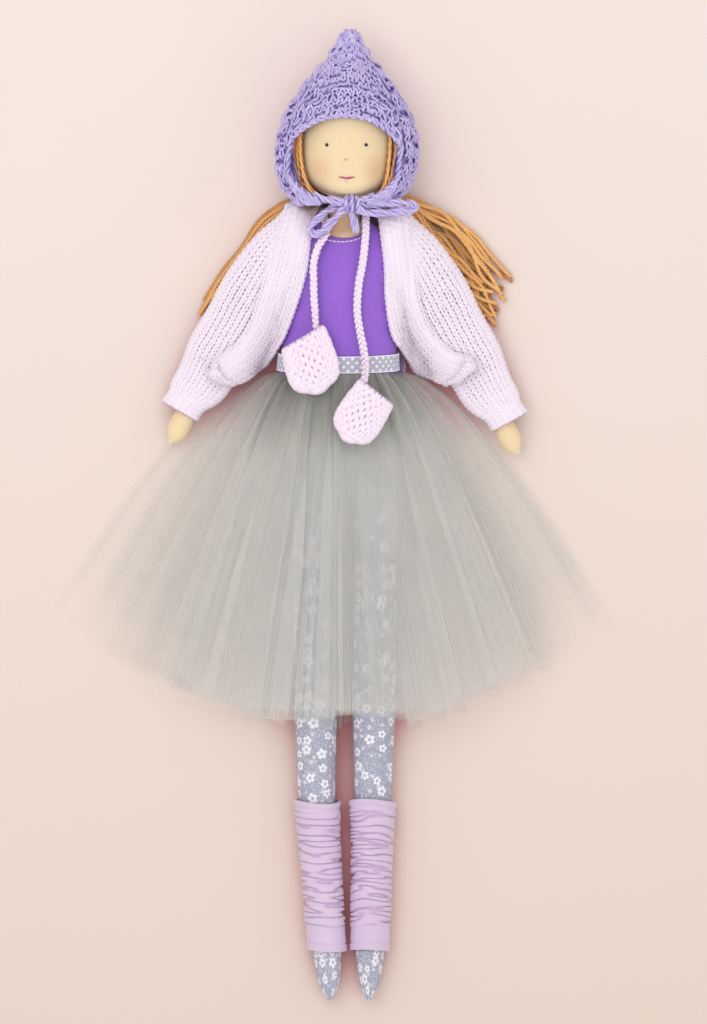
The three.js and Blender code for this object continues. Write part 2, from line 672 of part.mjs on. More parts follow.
function tulleFront(side, room) {
  const surface = (thickness) => (share, down) => {
    const across = side * THREE.MathUtils.lerp(skirtSplitShare, 1, share);
    const arch = (1 - across * across) ** THREE.MathUtils.lerp(1 / 2, 1, Math.min(1, 3 * down));
    const crest = THREE.MathUtils.lerp(skirtHeight, skirtHemHeight, down * down);
    const height = THREE.MathUtils.lerp(skirtEdgeHeight, crest, arch) + frontPleatDepth * arch * pleat(across, down);
    return skirtPlace(across, down).setZ(height - tulleWall + thickness);
  };
  return cut(slab(surface(0), surface(tulleWall), 18, 7), ...room);
}

function tulleBack() {
  const surface = (thickness) => (share, down) => {
    const across = THREE.MathUtils.lerp(-1, 1, share);
    const place = skirtPlace(across, down);
    place.setY(Math.min(place.y, -skirtBackTop));
    const wave = thickness > 0 ? backPleatDepth * (1 + pleat(across, down)) / 2 : 0;
    return place.setZ(wave + thickness);
  };
  return slab(surface(0), surface(tulleWall), 36, 5);
}

// Legs
function legFrame(side) {
  const hip = vec(side * hipX, -torsoBelow - seamStandoff, torsoZ);
  const knee = vec(side < 0 ? leftKneeX : rightKneeX, -torsoBelow - kneeShare * legLength, kneeZ);
  const toe = vec(side < 0 ? leftToeX : rightToeX, -torsoBelow - legLength, toeZ);
  return { side, hip, knee, toe };
}

function legCentre(frame, share) {
  return share < kneeShare ? frame.hip.clone().lerp(frame.knee, share / kneeShare)
    : frame.knee.clone().lerp(frame.toe, (share - kneeShare) / (1 - kneeShare));
}

function legRing(frame, [share, width, depth], grow = 0) {
  const size = width > 0 ? grow : 0;
  const shorter = width > 0 ? 0 : grow / legLength;
  return ring(legCentre(frame, share + shorter), vec(width * legHalfWidth + size, 0, 0),
    vec(0, 0, depth * legHalfWidth + size));
}

function legForm(frame, rows, grow, sides) {
  const rings = rows.map((row) => legRing(frame, row, grow));
  return loft([tip(rings[0].centre), ...rings], sides);
}

// The back seam is left open for a stretch, where the leg is turned and stuffed
function legSkin(frame) {
  const centre = legCentre(frame, turningGapShare);
  const gap = new THREE.BoxGeometry(turningGapWidth, turningGapLength, legHalfWidth + overrun);
  gap.translate(centre.x, centre.y, centre.z - (legHalfWidth + overrun) / 2);
  const hollow = legForm(frame, legShares.slice(1), -skinWall, 14);
  return cut(legForm(frame, legShares, 0, 16), hollow, weld(gap));
}

function legFilling(frame) {
  return legForm(frame, legShares.slice(1), -skinWall - fillingFit, 10);
}

function legWarmer(frame) {
  const turns = (share) => Math.PI * warmerFolds * share;
  const warmerRing = (share, grow) => {
    const place = warmerStartShare + share * warmerLength / legLength;
    const radius = along(warmerShares, share)[0] * warmerHalfWidth + grow;
    return ring(legCentre(frame, place), vec(radius, 0, 0), vec(0, 0, radius));
  };
  const count = 3 * warmerFolds;
  const outer = Array.from({ length: count + 1 }, (_, i) => {
    const plain = along(warmerHemShares, i / count)[0];
    return warmerRing(i / count, plain * warmerFold * Math.sin(turns(i / count)));
  });
  const inner = warmerShares.map(([share]) => warmerRing(share, -jerseyWall));
  return loft([...outer, ...inner.reverse()], 14, 0);
}

function hipThread(side) {
  const length = 2 * along(legShares, 0)[0] * legHalfWidth;
  const geometry = new THREE.CylinderGeometry(hipThreadRadius, hipThreadRadius, length, 8).rotateZ(Math.PI / 2);
  return weld(geometry.translate(side * hipX, -torsoBelow, torsoZ));
}

// Colours and finishes as they show on the doll
const cloth = (color, roughness = 0.9) => new THREE.MeshStandardMaterial({ color, roughness, metalness: 0 });
const skinCloth = () => cloth('#e3c39a', 0.85);
const hairYarn = () => cloth('#c98a4b');
const bonnetYarn = () => cloth('#9c8ac6');
const cardiganYarn = () => cloth('#ddc8ea');
const cordYarn = () => cloth('#e0cfee');
const printCloth = () => cloth('#8e96b2', 0.85);
const tulle = () => cloth('#b9b7b4', 0.7);
const jersey = () => cloth('#cdb3dd');
const stuffing = () => cloth('#f2eee6');
const thread = () => cloth('#efe8dc', 0.7);

const doll = new THREE.Group();

function add(name, geometry, material) {
  const mesh = new THREE.Mesh(geometry, material);
  mesh.name = name;
  doll.add(mesh);
}

const leftArm = armFrame(-1);
const rightArm = armFrame(1);
const room = (frame) => [sleeveRoom(frame), handRoom(frame)];

add('torso_skin', torsoSkin(), skinCloth());
add('torso_filling', torsoFilling(), stuffing());
add('sleeveless_top', sleevelessTop(), cloth('#6d45a8'));
add('neckline_stitching', necklineStitching(), thread());
add('waist_ribbon', waistRibbon(), cloth('#a8adbc', 0.6));
add('shoulder_thread', shoulderRod(threadRadius, threadReach), thread());

add('head_skin', headSkin(), skinCloth());
add('head_filling', headFilling(), stuffing());
add('eye_left', faceStitch(headX - eyeSpread, eyeHeight, eyeRadius, eyeRadius), cloth('#2b1d1a', 0.5));
add('eye_right', faceStitch(headX + eyeSpread, eyeHeight, eyeRadius, eyeRadius), cloth('#2b1d1a', 0.5));
add('nose_stitch', faceStitch(headX, noseHeight, noseHalfWidth, noseHalfWidth / 2), cloth('#c98f77'));
add('mouth_stitch', faceStitch(headX, mouthHeight, mouthHalfWidth, mouthHalfHeight), cloth('#cf5d68'));
add('hair_crown', hairCrown(), hairYarn());
add('hair_bunch_left', hairBunch(leftArm, hairLeftReach, hairLeftDrop, hairLeftHalfWidth), hairYarn());
add('hair_bunch_right', hairBunch(rightArm, hairRightReach, hairRightDrop, hairRightHalfWidth), hairYarn());
add('bonnet', bonnet(), bonnetYarn());
add('bonnet_tie_left', tube(tieLeftRoute, tieDiameter, 5), bonnetYarn());
add('bonnet_tie_right', tube(tieRightRoute, tieDiameter, 5), bonnetYarn());
add('bow_knot', bowKnot(), bonnetYarn());
add('bow_loop_left', tube(loopLeftRoute, loopDiameter, 14), bonnetYarn());
add('bow_loop_right', tube(loopRightRoute, loopDiameter, 18), bonnetYarn());
add('bow_tail', tube(tailRoute, loopDiameter, 5), bonnetYarn());

add('cardigan_back', cardiganBack(), cardiganYarn());
add('cardigan_front_left', cardiganFront(leftArm, leftEdgeShares, leftFoldShares), cardiganYarn());
add('cardigan_front_right', cardiganFront(rightArm, rightEdgeShares, rightFoldShares), cardiganYarn());

[leftArm, rightArm].forEach((frame) => {
  const side = frame.side < 0 ? 'left' : 'right';
  add(`cardigan_sleeve_${side}`, sleeve(frame), cardiganYarn());
  add(`arm_skin_${side}`, armSkin(frame), skinCloth());
  add(`arm_filling_${side}`, armFilling(frame), stuffing());
});

add('mitten_cord', tube(mittenCordRoute, cordDiameter, 44), cordYarn());
add('mitten_left', mitten(leftMittenX, leftMittenY, leftMittenZ, leftMittenTurn), cordYarn());
add('mitten_right', mitten(rightMittenX, rightMittenY, rightMittenZ, rightMittenTurn), cordYarn());

add('tulle_back', tulleBack(), tulle());
add('tulle_front_left', tulleFront(-1, room(leftArm)), tulle());
add('tulle_front_right', tulleFront(1, room(rightArm)), tulle());

[-1, 1].forEach((sign) => {
  const side = sign < 0 ? 'left' : 'right';
  const frame = legFrame(sign);
  add(`leg_skin_${side}`, legSkin(frame), printCloth());
  add(`leg_filling_${side}`, legFilling(frame), stuffing());
  add(`hip_thread_${side}`, hipThread(sign), thread());
  add(`leg_warmer_${side}`, legWarmer(frame), jersey());
});

export default doll;
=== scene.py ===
# %% [markdown]
# A handmade cloth doll lies on its back on a pale table: stuffed limbs, yarn hair, a chunky knitted bonnet,
# an open cardigan, mittens on a cord, a skirt of many layers of net, printed legs and scrunched leg warmers.
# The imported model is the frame. Each piece below is a surface that numpy works out, and it replaces or
# dresses one solid of the frame, in the same place.

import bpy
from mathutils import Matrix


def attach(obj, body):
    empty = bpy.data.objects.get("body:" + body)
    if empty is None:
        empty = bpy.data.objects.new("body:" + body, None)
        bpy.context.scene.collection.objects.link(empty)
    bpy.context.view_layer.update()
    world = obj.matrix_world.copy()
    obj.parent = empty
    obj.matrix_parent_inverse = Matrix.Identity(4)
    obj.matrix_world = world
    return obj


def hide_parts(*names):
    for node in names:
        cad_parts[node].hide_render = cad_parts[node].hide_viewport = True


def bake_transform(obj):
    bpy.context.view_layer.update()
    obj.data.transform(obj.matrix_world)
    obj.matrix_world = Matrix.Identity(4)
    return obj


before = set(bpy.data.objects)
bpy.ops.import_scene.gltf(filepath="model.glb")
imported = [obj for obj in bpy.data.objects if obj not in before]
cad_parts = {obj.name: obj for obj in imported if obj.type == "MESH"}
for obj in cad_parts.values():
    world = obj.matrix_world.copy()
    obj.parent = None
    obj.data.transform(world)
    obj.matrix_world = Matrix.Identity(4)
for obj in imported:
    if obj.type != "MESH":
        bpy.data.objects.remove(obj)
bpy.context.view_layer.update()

import math

import bpy
import numpy as np

MM = 0.001
TURN = 2 * math.pi
UP = np.array([0.0, 0.0, 1.0])
print("solids in the frame:", len(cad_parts))

# %% [markdown]
# Every shape here is an array of points in millimetres. These helpers put points and faces into a mesh, turn
# its faces outwards where it is closed, and write the UVs and the values that the materials read.

# %% Meshes from arrays
def grid_faces(rows, columns, closed_rows=False, closed_columns=False):
    """Corners of the cells of a grid of points that are numbered row by row."""
    row = np.arange(rows if closed_rows else rows - 1)[:, None]
    column = np.arange(columns if closed_columns else columns - 1)[None, :]
    below, beside = (row + 1) % rows, (column + 1) % columns
    corners = [row * columns + column, row * columns + beside, below * columns + beside, below * columns + column]
    return np.stack(np.broadcast_arrays(*corners), -1).reshape(-1, 4)


def turned_out(points, faces):
    """Faces of a closed mesh, turned over if the volume that they enclose comes out negative. The volume is the
    sum of a . (b x c) / 6 over the triangles of each face's fan."""
    points = points.reshape(-1, 3) - points.reshape(-1, 3).mean(0)
    volume = 0.0
    for corners in faces:
        for k in range(1, corners.shape[1] - 1):
            a, b, c = points[corners[:, 0]], points[corners[:, k]], points[corners[:, k + 1]]
            volume += np.einsum("ij,ij->", a, np.cross(b, c)) / 6
    return [block[:, ::-1] for block in faces] if volume < 0 else faces


def piece(name, points, faces, finish, body=None, slot=None, uv=None, closed=True, **values):
    """A mesh object from points in millimetres. It rides on a body and takes one finish."""
    points = points.reshape(-1, 3)
    faces = faces if isinstance(faces, list) else [faces]
    if closed:
        faces = turned_out(points, faces)
    corners = np.concatenate([block.ravel() for block in faces])
    sizes = np.concatenate([np.full(len(block), block.shape[1]) for block in faces])
    mesh = bpy.data.meshes.new(name)
    mesh.vertices.add(len(points))
    mesh.vertices.foreach_set("co", (points * MM).ravel())
    mesh.loops.add(len(corners))
    mesh.loops.foreach_set("vertex_index", corners)
    mesh.polygons.add(len(sizes))
    mesh.polygons.foreach_set("loop_start", np.cumsum(sizes) - sizes)
    mesh.polygons.foreach_set("use_smooth", np.ones(len(sizes), bool))
    mesh.update(calc_edges=True)
    if uv is not None:
        layer = mesh.uv_layers.new(name="UVMap")
        layer.data.foreach_set("uv", uv.reshape(-1, 2)[corners].ravel())
    for title, value in values.items():
        mesh.attributes.new(title, "FLOAT", "POINT").data.foreach_set("value", value.ravel())
    mesh.materials.append(finish.material)
    made = bpy.data.objects.new(name, mesh)
    bpy.context.scene.collection.objects.link(made)
    if body:
        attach(made, body)
    print(f"{name}: {len(points)} points, {int((sizes - 2).sum())} triangles")
    return made


# %% [markdown]
# A long piece is a small section carried along a path. The section stands square to the path, and one chosen
# direction, such as up or away from the neck, keeps it from turning over. A wide one is a stack of ellipses
# whose sizes come from a table of shares, read between its rows.

# %% Sections and paths
def unit(vectors):
    return vectors / np.maximum(np.linalg.norm(vectors, axis=-1, keepdims=True), 1e-9)


def turns(count):
    """Angles that are spread evenly once round."""
    return np.linspace(0, TURN, count, endpoint=False)


def smoothstep(value, low, high):
    t = np.clip((value - low) / (high - low), 0, 1)
    return t * t * (3 - 2 * t)


def along(table, share, soften=0.0):
    """Columns of a table at shares of its first column, rounded off by averaging over a short stretch."""
    table = np.asarray(table, float)
    shifts = np.linspace(-soften, soften, 7) if soften else np.zeros(1)
    return [np.mean([np.interp(share + shift, table[:, 0], column) for shift in shifts], 0)
            for column in table.T[1:]]


def ellipse(x, y, z, half_width, half_depth, angle):
    """Points of a section that stands square to Y: half_width cos(angle) to the side, half_depth sin(angle) up."""
    return np.stack(np.broadcast_arrays(x + half_width * np.cos(angle), y, z + half_depth * np.sin(angle)), -1)


def path_length(paths):
    """Length from the start of each path to each of its places."""
    steps = np.linalg.norm(np.diff(paths, axis=-2), axis=-1)
    return np.cumsum(np.insert(steps, 0, 0.0, axis=-1), axis=-1)


def follow(place, places, points):
    """Points of a path at a place between the given places."""
    return np.stack([np.interp(place, places, column) for column in points.T], -1)


def smooth_path(points, count):
    """A curve through the points. Each stretch is the cubic whose slopes are half its neighbours' difference."""
    points = np.asarray(points, float)
    ends = np.concatenate([[2 * points[0] - points[1]], points, [2 * points[-1] - points[-2]]])
    place = np.linspace(0, len(points) - 1, 12 * count)
    index = np.minimum(place.astype(int), len(points) - 2)
    t = (place - index)[:, None]
    a, b, c, d = (ends[index + k] for k in range(4))
    curve = b + t * (c - a) / 2 + t**2 * (a - 2.5 * b + 2 * c - d / 2) + t**3 * (1.5 * (b - c) + (d - a) / 2)
    length = path_length(curve)
    return follow(np.linspace(0, length[-1], count), length, curve)


def direction(paths, closed=False):
    """Unit tangents: the difference of each point's two neighbours."""
    if closed:
        return unit(np.roll(paths, -1, -2) - np.roll(paths, 1, -2))
    return unit(np.gradient(paths, axis=-2))


def carry(paths, section, facing, closed=False):
    """Points of tubes: path + section's first value sideways + its second along the facing direction.
    paths is tubes x places x 3, and section is round x 2, or one section for each place."""
    forward = direction(paths, closed)
    side = unit(np.cross(np.broadcast_to(facing, paths.shape), forward))
    out = np.cross(forward, side)
    section = np.broadcast_to(section, (*paths.shape[:-1], *section.shape[-2:]))
    return paths[..., None, :] + section[..., :1] * side[..., None, :] + section[..., 1:] * out[..., None, :]


def tube_faces(tubes, places, around, closed=False):
    """Side faces of tubes, and a flat end at both ends of each that is not a closed ring."""
    sides = grid_faces(places, around, closed_rows=closed, closed_columns=True)
    starts = np.arange(tubes)[:, None] * places * around
    faces = [(sides[None] + starts[..., None]).reshape(-1, 4)]
    if not closed:
        ring = np.arange(around)[None]
        faces += [starts + ring[:, ::-1], starts + (places - 1) * around + ring]
    return faces


def circle(count, radius):
    return radius * np.stack([np.cos(turns(count)), np.sin(turns(count))], 1)


# %% [markdown]
# Yarn that has been plied is two or three strands twisted round each other. A round section with lobes that
# turns as it goes along the path has their bumps, which is cheaper than separate strands and never opens.

# %% Plied yarn
def plied(paths, diameter, pitch, facing, plies=3, around=12, depth=0.16, shade=0.9, closed=False):
    """Points and UVs of plied strands. Radius = r (1 + depth cos(plies (angle - 2 pi s / pitch))). The third
    result is high on a lobe and falls off, by shade, to the strand's sides, a painted shade that stands for
    the shade of its neighbours."""
    length = path_length(paths)[..., None]
    angle = turns(around)
    turned = angle - TURN * length / pitch
    radius = diameter / 2 * (1 - depth / 2 + depth * np.cos(plies * turned))
    section = np.stack([radius * np.cos(angle), radius * np.sin(angle)], -1)
    uv = np.stack(np.broadcast_arrays(length, plies * turned / TURN), -1)
    lobe = np.cos(plies * turned) - shade * (1 - np.sin(angle)) ** 2
    return carry(paths, section, facing, closed), uv, lobe


def yarn_piece(name, paths, diameter, pitch, facing, finish, slot, raised, **plying):
    """Plied strands as one piece on the torso. raised says how far each place stands out of its neighbours;
    the finish paints shade where it is low.
    """
    points, uv, lobe = plied(paths, diameter, pitch, facing, **plying)
    return piece(name, points, tube_faces(*points.shape[:3]), finish, "torso", slot, uv, lobe=lobe,
                 raised=np.broadcast_to(raised, lobe.shape))


# %% [markdown]
# Shader maths reads best as arithmetic. A small class wraps a socket, so that `1 - mask * 0.3` adds the Math
# nodes by itself, and one method makes every other node from its type, its settings and its inputs.

# %% Finishes from node maths
def colour(code):
    """A colour as it shows on screen, turned to the linear values that shaders use."""
    share = np.array([int(code[i:i + 2], 16) for i in (1, 3, 5)]) / 255
    linear = np.where(share <= 0.04045, share / 12.92, ((share + 0.055) / 1.055) ** 2.4)
    return (*(float(value) for value in linear), 1.0)


class Value:
    """A socket's output that can be used in arithmetic."""

    def __init__(self, finish, socket):
        self.finish, self.socket = finish, socket

    def do(self, operation, *others):
        return self.finish.add("ShaderNodeMath", {"operation": operation}, self, *others)

    def __add__(self, other): return self.do("ADD", other)
    def __mul__(self, other): return self.do("MULTIPLY", other)
    def __sub__(self, other): return self.do("SUBTRACT", other)
    def __truediv__(self, other): return self.do("DIVIDE", other)
    def __gt__(self, other): return self.do("GREATER_THAN", other)
    def __rsub__(self, other): return self.finish.add("ShaderNodeMath", {"operation": "SUBTRACT"}, other, self)

    __radd__, __rmul__ = __add__, __mul__


class Finish:
    """A material. Constants go on the shader's own sockets, and a colour may be given by its screen code."""

    def __init__(self, name, **constants):
        self.material = bpy.data.materials.new(name)
        self.material.use_nodes = True
        self.nodes, self.links = self.material.node_tree.nodes, self.material.node_tree.links
        self.set(**constants)

    def feed(self, socket, value):
        if isinstance(value, Value):
            self.links.new(value.socket, socket)
        else:
            socket.default_value = colour(value) if isinstance(value, str) else value

    def set(self, **values):
        for socket, value in values.items():
            self.feed(self.nodes["Principled BSDF"].inputs[socket.replace("_", " ")], value)

    def add(self, kind, settings=None, *values, output=0, **named):
        """A node: its settings first, then the values or links of its sockets, by number or by name."""
        node = self.nodes.new(kind)
        for key, value in (settings or {}).items():
            setattr(node, key, value)
        for place, value in [*enumerate(values), *named.items()]:
            self.feed(node.inputs[place], value)
        return Value(self, node.outputs[output])

    def place(self):
        """Place on the piece in metres."""
        return self.add("ShaderNodeTexCoord", output="Object")

    def uv(self):
        """The piece's own UV map, which is in millimetres of yarn or cloth."""
        return self.add("ShaderNodeTexCoord", output="UV")

    def parts(self, vector):
        first = self.add("ShaderNodeSeparateXYZ", None, vector)
        return [Value(self, socket) for socket in first.socket.node.outputs]

    def noise(self, vector, scale, detail=2.0, roughness=0.5):
        return self.add("ShaderNodeTexNoise", None, Vector=vector, Scale=scale, Detail=detail,
                        Roughness=roughness)

    def range(self, value, low, high, to_low=0.0, to_high=1.0):
        return self.add("ShaderNodeMapRange", None, value, low, high, to_low, to_high)

    def mix(self, factor, first, second):
        """A colour between two colours."""
        mixed = self.add("ShaderNodeMix", {"data_type": "RGBA"}, factor, output=2)
        for index, value in ((6, first), (7, second)):
            self.feed(mixed.socket.node.inputs[index], value)
        return mixed

    def attribute(self, name):
        return self.add("ShaderNodeAttribute", {"attribute_name": name}, output="Fac")

    def bump(self, height, strength, distance):
        return self.add("ShaderNodeBump", None, strength, distance, Height=height)


print("helpers ready")

# %% [markdown]
# The photograph looks straight down at the doll. A camera right above it, with a long lens, gives that view:
# the lens is chosen so that the picture's height takes in the length that the doll's own size asks for.

# %% Camera
PICTURE_HEIGHT, PIXEL = 1024, 0.56
VIEW_X, VIEW_Y = 4.76, -118.7
CAMERA_HEIGHT, FOCUS_HEIGHT, SENSOR = 6000.0, 30.0, 36.0
camera_data = bpy.data.cameras.new("camera")
camera_data.sensor_width = SENSOR
camera_data.lens = SENSOR * (CAMERA_HEIGHT - FOCUS_HEIGHT) / (PIXEL * PICTURE_HEIGHT)
camera_data.clip_end = 20
camera = bpy.data.objects.new("camera", camera_data)
camera.location = (VIEW_X * MM, VIEW_Y * MM, CAMERA_HEIGHT * MM)
bpy.context.scene.collection.objects.link(camera)
bpy.context.scene.camera = camera
print(f"lens {camera_data.lens:.1f} mm, {PIXEL * PICTURE_HEIGHT:.0f} mm of the doll's plane in view")

# %% [markdown]
# The table is pale and a little pinker towards the feet. A rose painted shade, found by ambient occlusion,
# darkens it in the narrow gaps at the waist and between the legs, in place of the light that the pink cloth
# throws back. A painted light keeps it light beside the head, where the doll's shade would fall. A large soft
# lamp overhead and a light world give soft edges that are never black.

# %% Floor and light
GAP_REACH, TABLE_HALF_SIZE, TABLE_TOP = 0.045, 1500.0, -0.2
table = Finish("table", Roughness=0.8)
table_x, table_y, _ = table.parts(table.place())
openness = table.add("ShaderNodeAmbientOcclusion", {"samples": 6}, output="AO", Distance=GAP_REACH)
at_waist = table.range(table_y, -0.08, -0.045) * table.range(table_y, 0.06, 0.0, 0.12, 1.0)
between_legs = table.range(table_y, -0.212, -0.235) * table.range(table_x.do("ABSOLUTE"), 0.048, 0.03)
# Painted shade: a rose tone where ambient occlusion finds the gaps at the waist and between the legs.
rose = table.range(openness, 0.62, 0.12) * (at_waist + between_legs) * 0.85
# Painted light: a lighter tone beside the head, where ambient occlusion finds the doll's shade.
lift = table.range(openness, 1.0, 0.5) * table.range(table_y, -0.02, 0.04) * 0.8
table_tone = table.mix(table.range(table_y, 0.15, -0.42), "#ece1db", "#e1cfc5")
table_tone = table.mix(lift, table.mix(rose, table_tone, "#d36375"), "#ffeae2")
table.set(Base_Color=table.mix(table.noise(table.place(), 14.0, 3.0) * 0.12, table_tone, "#e6cdc0"))
table_corners = TABLE_HALF_SIZE * np.array([[-1, -1, 0], [1, -1, 0], [1, 1, 0], [-1, 1, 0]]) + TABLE_TOP * UP
floor = piece("table_top", table_corners, np.array([[0, 1, 2, 3]]), table, closed=False)


def soft_lamp(name, place, size, power, tint, target=(0, -0.12, 0)):
    """A square area lamp that faces the target."""
    data = bpy.data.lights.new(name, "AREA")
    data.size, data.energy, data.color = size, power, tint
    lamp = bpy.data.objects.new(name, data)
    way = np.array(target) - np.array(place)
    lamp.location = place
    lamp.rotation_euler = (math.atan2(math.hypot(way[0], way[1]), -way[2]), 0,
                           math.atan2(way[1], way[0]) - math.pi / 2)
    bpy.context.scene.collection.objects.link(lamp)


soft_lamp("window_light", (-0.3, 0.2, 1.5), 1.3, 9.0, (1.0, 0.985, 0.965))
soft_lamp("fill_light", (0.5, -0.7, 1.4), 1.5, 3.5, (1.0, 0.97, 0.96))
world = bpy.data.worlds.new("soft_room")
world.use_nodes = True
world.node_tree.nodes["Background"].inputs[0].default_value = (1.0, 0.97, 0.955, 1.0)
world.node_tree.nodes["Background"].inputs[1].default_value = 0.72
bpy.context.scene.world = world
bpy.context.scene.view_settings.view_transform = "Standard"

# %% [markdown]
# The doll's own sizes, in millimetres, as the solids have them. A body part is a set of sections along its
# length, and each row of a table gives a place along it and the section's half width and half depth there.

# %% Sizes of the body
SIDES = {-1: "left", 1: "right"}
TORSO_Z = 25.6
TORSO_BELOW, TORSO_LENGTH = 97.0, 140.0
TORSO_HALF_WIDTH, TORSO_HALF_DEPTH, WAIST_LEAN = 33.5, 19.5, -4.0
TORSO_SHARES = [
    [0, 0.8, 0.041], [0.05, 0.88, 0.27], [0.15, 0.97, 0.66], [0.27, 1, 0.9], [0.44, 0.93, 0.97],
    [0.62, 0.9, 1], [0.76, 0.9, 0.98], [0.89, 0.9, 0.88], [0.955, 0.84, 0.73], [1, 0.5, 0.54]]
LEAN_SHARES = [[0, 0.3], [0.43, 1], [0.8, 0.15], [1, 0.1]]
HEAD_BASE, HEAD_LENGTH, HEAD_X = 56.3, 65.0, 2.0
HEAD_HALF_WIDTH, HEAD_HALF_DEPTH, HEAD_Z = 28.0, 25.0, 32.7
HEAD_SHARES = [
    [0, 0.5, 0.85, 0.5], [0.03, 0.68, 0.9, 0.9], [0.1, 0.84, 0.95, 1], [0.22, 0.95, 0.98, 1],
    [0.38, 1, 1, 1], [0.55, 1, 1, 1], [0.72, 0.9, 0.93, 1], [0.86, 0.68, 0.74, 1], [0.95, 0.42, 0.45, 1],
    [1, 0, 0, 1]]
SHOULDER = {-1: (-31.4, 37.0, TORSO_Z), 1: (31.4, 37.0, TORSO_Z)}
WRIST = {-1: (-89.0, -63.0, 12.3), 1: (88.5, -69.0, 12.3)}
SLEEVE_HALF_WIDTH, SLEEVE_HALF_DEPTH, SLEEVE_STANDOFF = 18.5, 15.0, 1.6
SLEEVE_SHARES = [
    [0, 0.81, 1], [0.15, 0.92, 0.93], [0.4, 1, 0.8], [0.7, 0.95, 0.7], [0.88, 0.8, 0.6], [1, 0.7, 0.57]]
SLEEVE_DROP = [[0, 0], [0.15, 0.26], [0.4, 0.68], [0.7, 0.94], [1, 1]]
TURN_SHARE = 0.3
ARM_RADIUS, HAND_LENGTH = 7.0, 21.0
LEG_TOP, LEG_LENGTH, LEG_HALF_WIDTH = -98.1, 294.9, 12.2
LEG_SHARES = [
    [0, 0.86, 0.066], [0.035, 0.95, 0.5], [0.09, 1, 0.9], [0.2, 1, 1], [0.45, 0.985, 0.985], [0.6, 0.86, 0.86],
    [0.66, 0.76, 0.76], [0.72, 0.7, 0.7], [0.85, 0.7, 0.7], [0.91, 0.67, 0.68], [0.95, 0.56, 0.58],
    [0.972, 0.44, 0.45], [0.988, 0.3, 0.3], [0.996, 0.17, 0.17], [1, 0, 0]]
KNEE_SHARE = 0.62
LEG_X = {-1: (-17.5, -16.0, -8.2), 1: (17.5, 15.6, 13.4)}
LEG_Z = (TORSO_Z, 12.2, 10.6)


def torso_section(y, grow=0.0):
    """Half width, half depth and middle of the torso's section at y."""
    share = (y + TORSO_BELOW) / TORSO_LENGTH
    width, depth = along(TORSO_SHARES, share, 0.03)
    middle = WAIST_LEAN * along(LEAN_SHARES, share, 0.04)[0]
    return width * TORSO_HALF_WIDTH + grow, depth * TORSO_HALF_DEPTH + grow, middle


print("body sizes ready")

# %% [markdown]
# The yarns. Wool has no hard highlight but a soft sheen. Its shade is painted into the colour: a plied yarn is
# darker in the grooves between its strands, on their sides and where it dips behind its neighbour. The pieces
# carry these as values on their points.

# %% Yarn and thread finishes
FUZZ_SCALE = 2600.0


def yarn_finish(name, light, dark, deep, mottle=0.25, mottle_scale=130.0):
    """Wool: a light tone on the strand, and painted shade: dark in its grooves, deep where stitches sink."""
    made = Finish(name, Roughness=0.92, Sheen_Weight=0.25, Sheen_Roughness=0.5)
    fuzz = made.noise(made.place(), FUZZ_SCALE, 3.0, 0.65)
    blotch = made.range(made.noise(made.place(), mottle_scale), 0.3, 0.7)
    lobe = made.attribute("lobe")
    # Painted shade: the dark tone fills the grooves between the plies and the sides of each strand.
    groove_relief_and_shade = made.range(lobe, -1.0, 0.3)
    tone = made.mix(blotch * mottle, made.mix(groove_relief_and_shade, dark, light), dark)
    # Painted shade: the deep tone where the yarn sinks under its neighbours and on the dark layer under the loops.
    painted_sink_shade = made.range(made.attribute("raised"), 0.5, 0.0).do("MAXIMUM", made.range(lobe, -0.9, -2.4))
    tone = made.mix(painted_sink_shade * 0.88, tone, deep)
    made.set(Base_Color=made.mix(made.range(fuzz, 0.35, 0.75) * 0.3, tone, light),
             Normal=made.bump(fuzz + groove_relief_and_shade * 0.5, 0.35, 0.0003))
    return made


# Each yarn: a light tone, a dark tone of painted shade for its grooves, and a deep one for where it sinks.
hair_finish = yarn_finish("hair_wool", "#ffd085", "#de8a40", "#6e2408")
bonnet_finish = yarn_finish("bonnet_wool", "#ded5f9", "#9f8cd3", "#43299a", mottle=0.5, mottle_scale=240.0)
cardigan_finish = yarn_finish("cardigan_wool", "#fbf2fc", "#eddcf1", "#a67cba", mottle=0.15)
mitten_finish = yarn_finish("mitten_wool", "#faeefb", "#ead6ee", "#a87fbc", mottle=0.15)
thread_finish = yarn_finish("sewing_thread", "#f6ede8", "#dccbd6", "#b9a3b5")
print("yarns ready")

# %% [markdown]
# The cords come first, because their real length decides how far they reach. The mittens hang on one
# crocheted cord that runs behind the neck and down both sides of the chest. A crocheted chain looks like a
# flat plait, so its three strands follow the path of a plait: each swings from side to side with its own
# phase, and dips under its neighbours twice in each swing.

# %% Mitten cord
MITTEN_CORD_DIAMETER, PLAIT_PITCH, PLAIT_PLY_PITCH = 4.6, 9.0, 2.6
PLAIT_HALF_WIDTH, PLAIT_HALF_HEIGHT, PLAIT_STRAND = (share * MITTEN_CORD_DIAMETER for share in (0.29, 0.13, 0.5))
MITTEN_CORD_ROUTE = [
    [-15.6, -18.8, 54], [-16.4, -9, 51], [-17.2, 1, 49.8], [-17.4, 11, 49.6], [-17.4, 20.2, 49],
    [-14.8, 29.6, 47.8], [-10.4, 36.6, 45.6], [-10.8, 42.6, 40.6], [-12.2, 47, 33], [-12.4, 49.4, 23],
    [-7.8, 50.2, 13.8], [0, 50.4, 11.2], [7.8, 50.2, 13.8], [12.4, 50, 23], [12.8, 49.6, 33],
    [11.6, 46.2, 40.6], [11.6, 38, 44.6], [11, 30, 47], [9.8, 20, 48.4], [7.6, 8, 49.4], [6.8, -6, 49.6],
    [8.4, -18, 49.8], [10.4, -28, 51.2], [11.4, -38, 53.4], [10.6, -46.4, 55]]
NECK_AXIS = np.array([0.0, 20.0, 20.0])
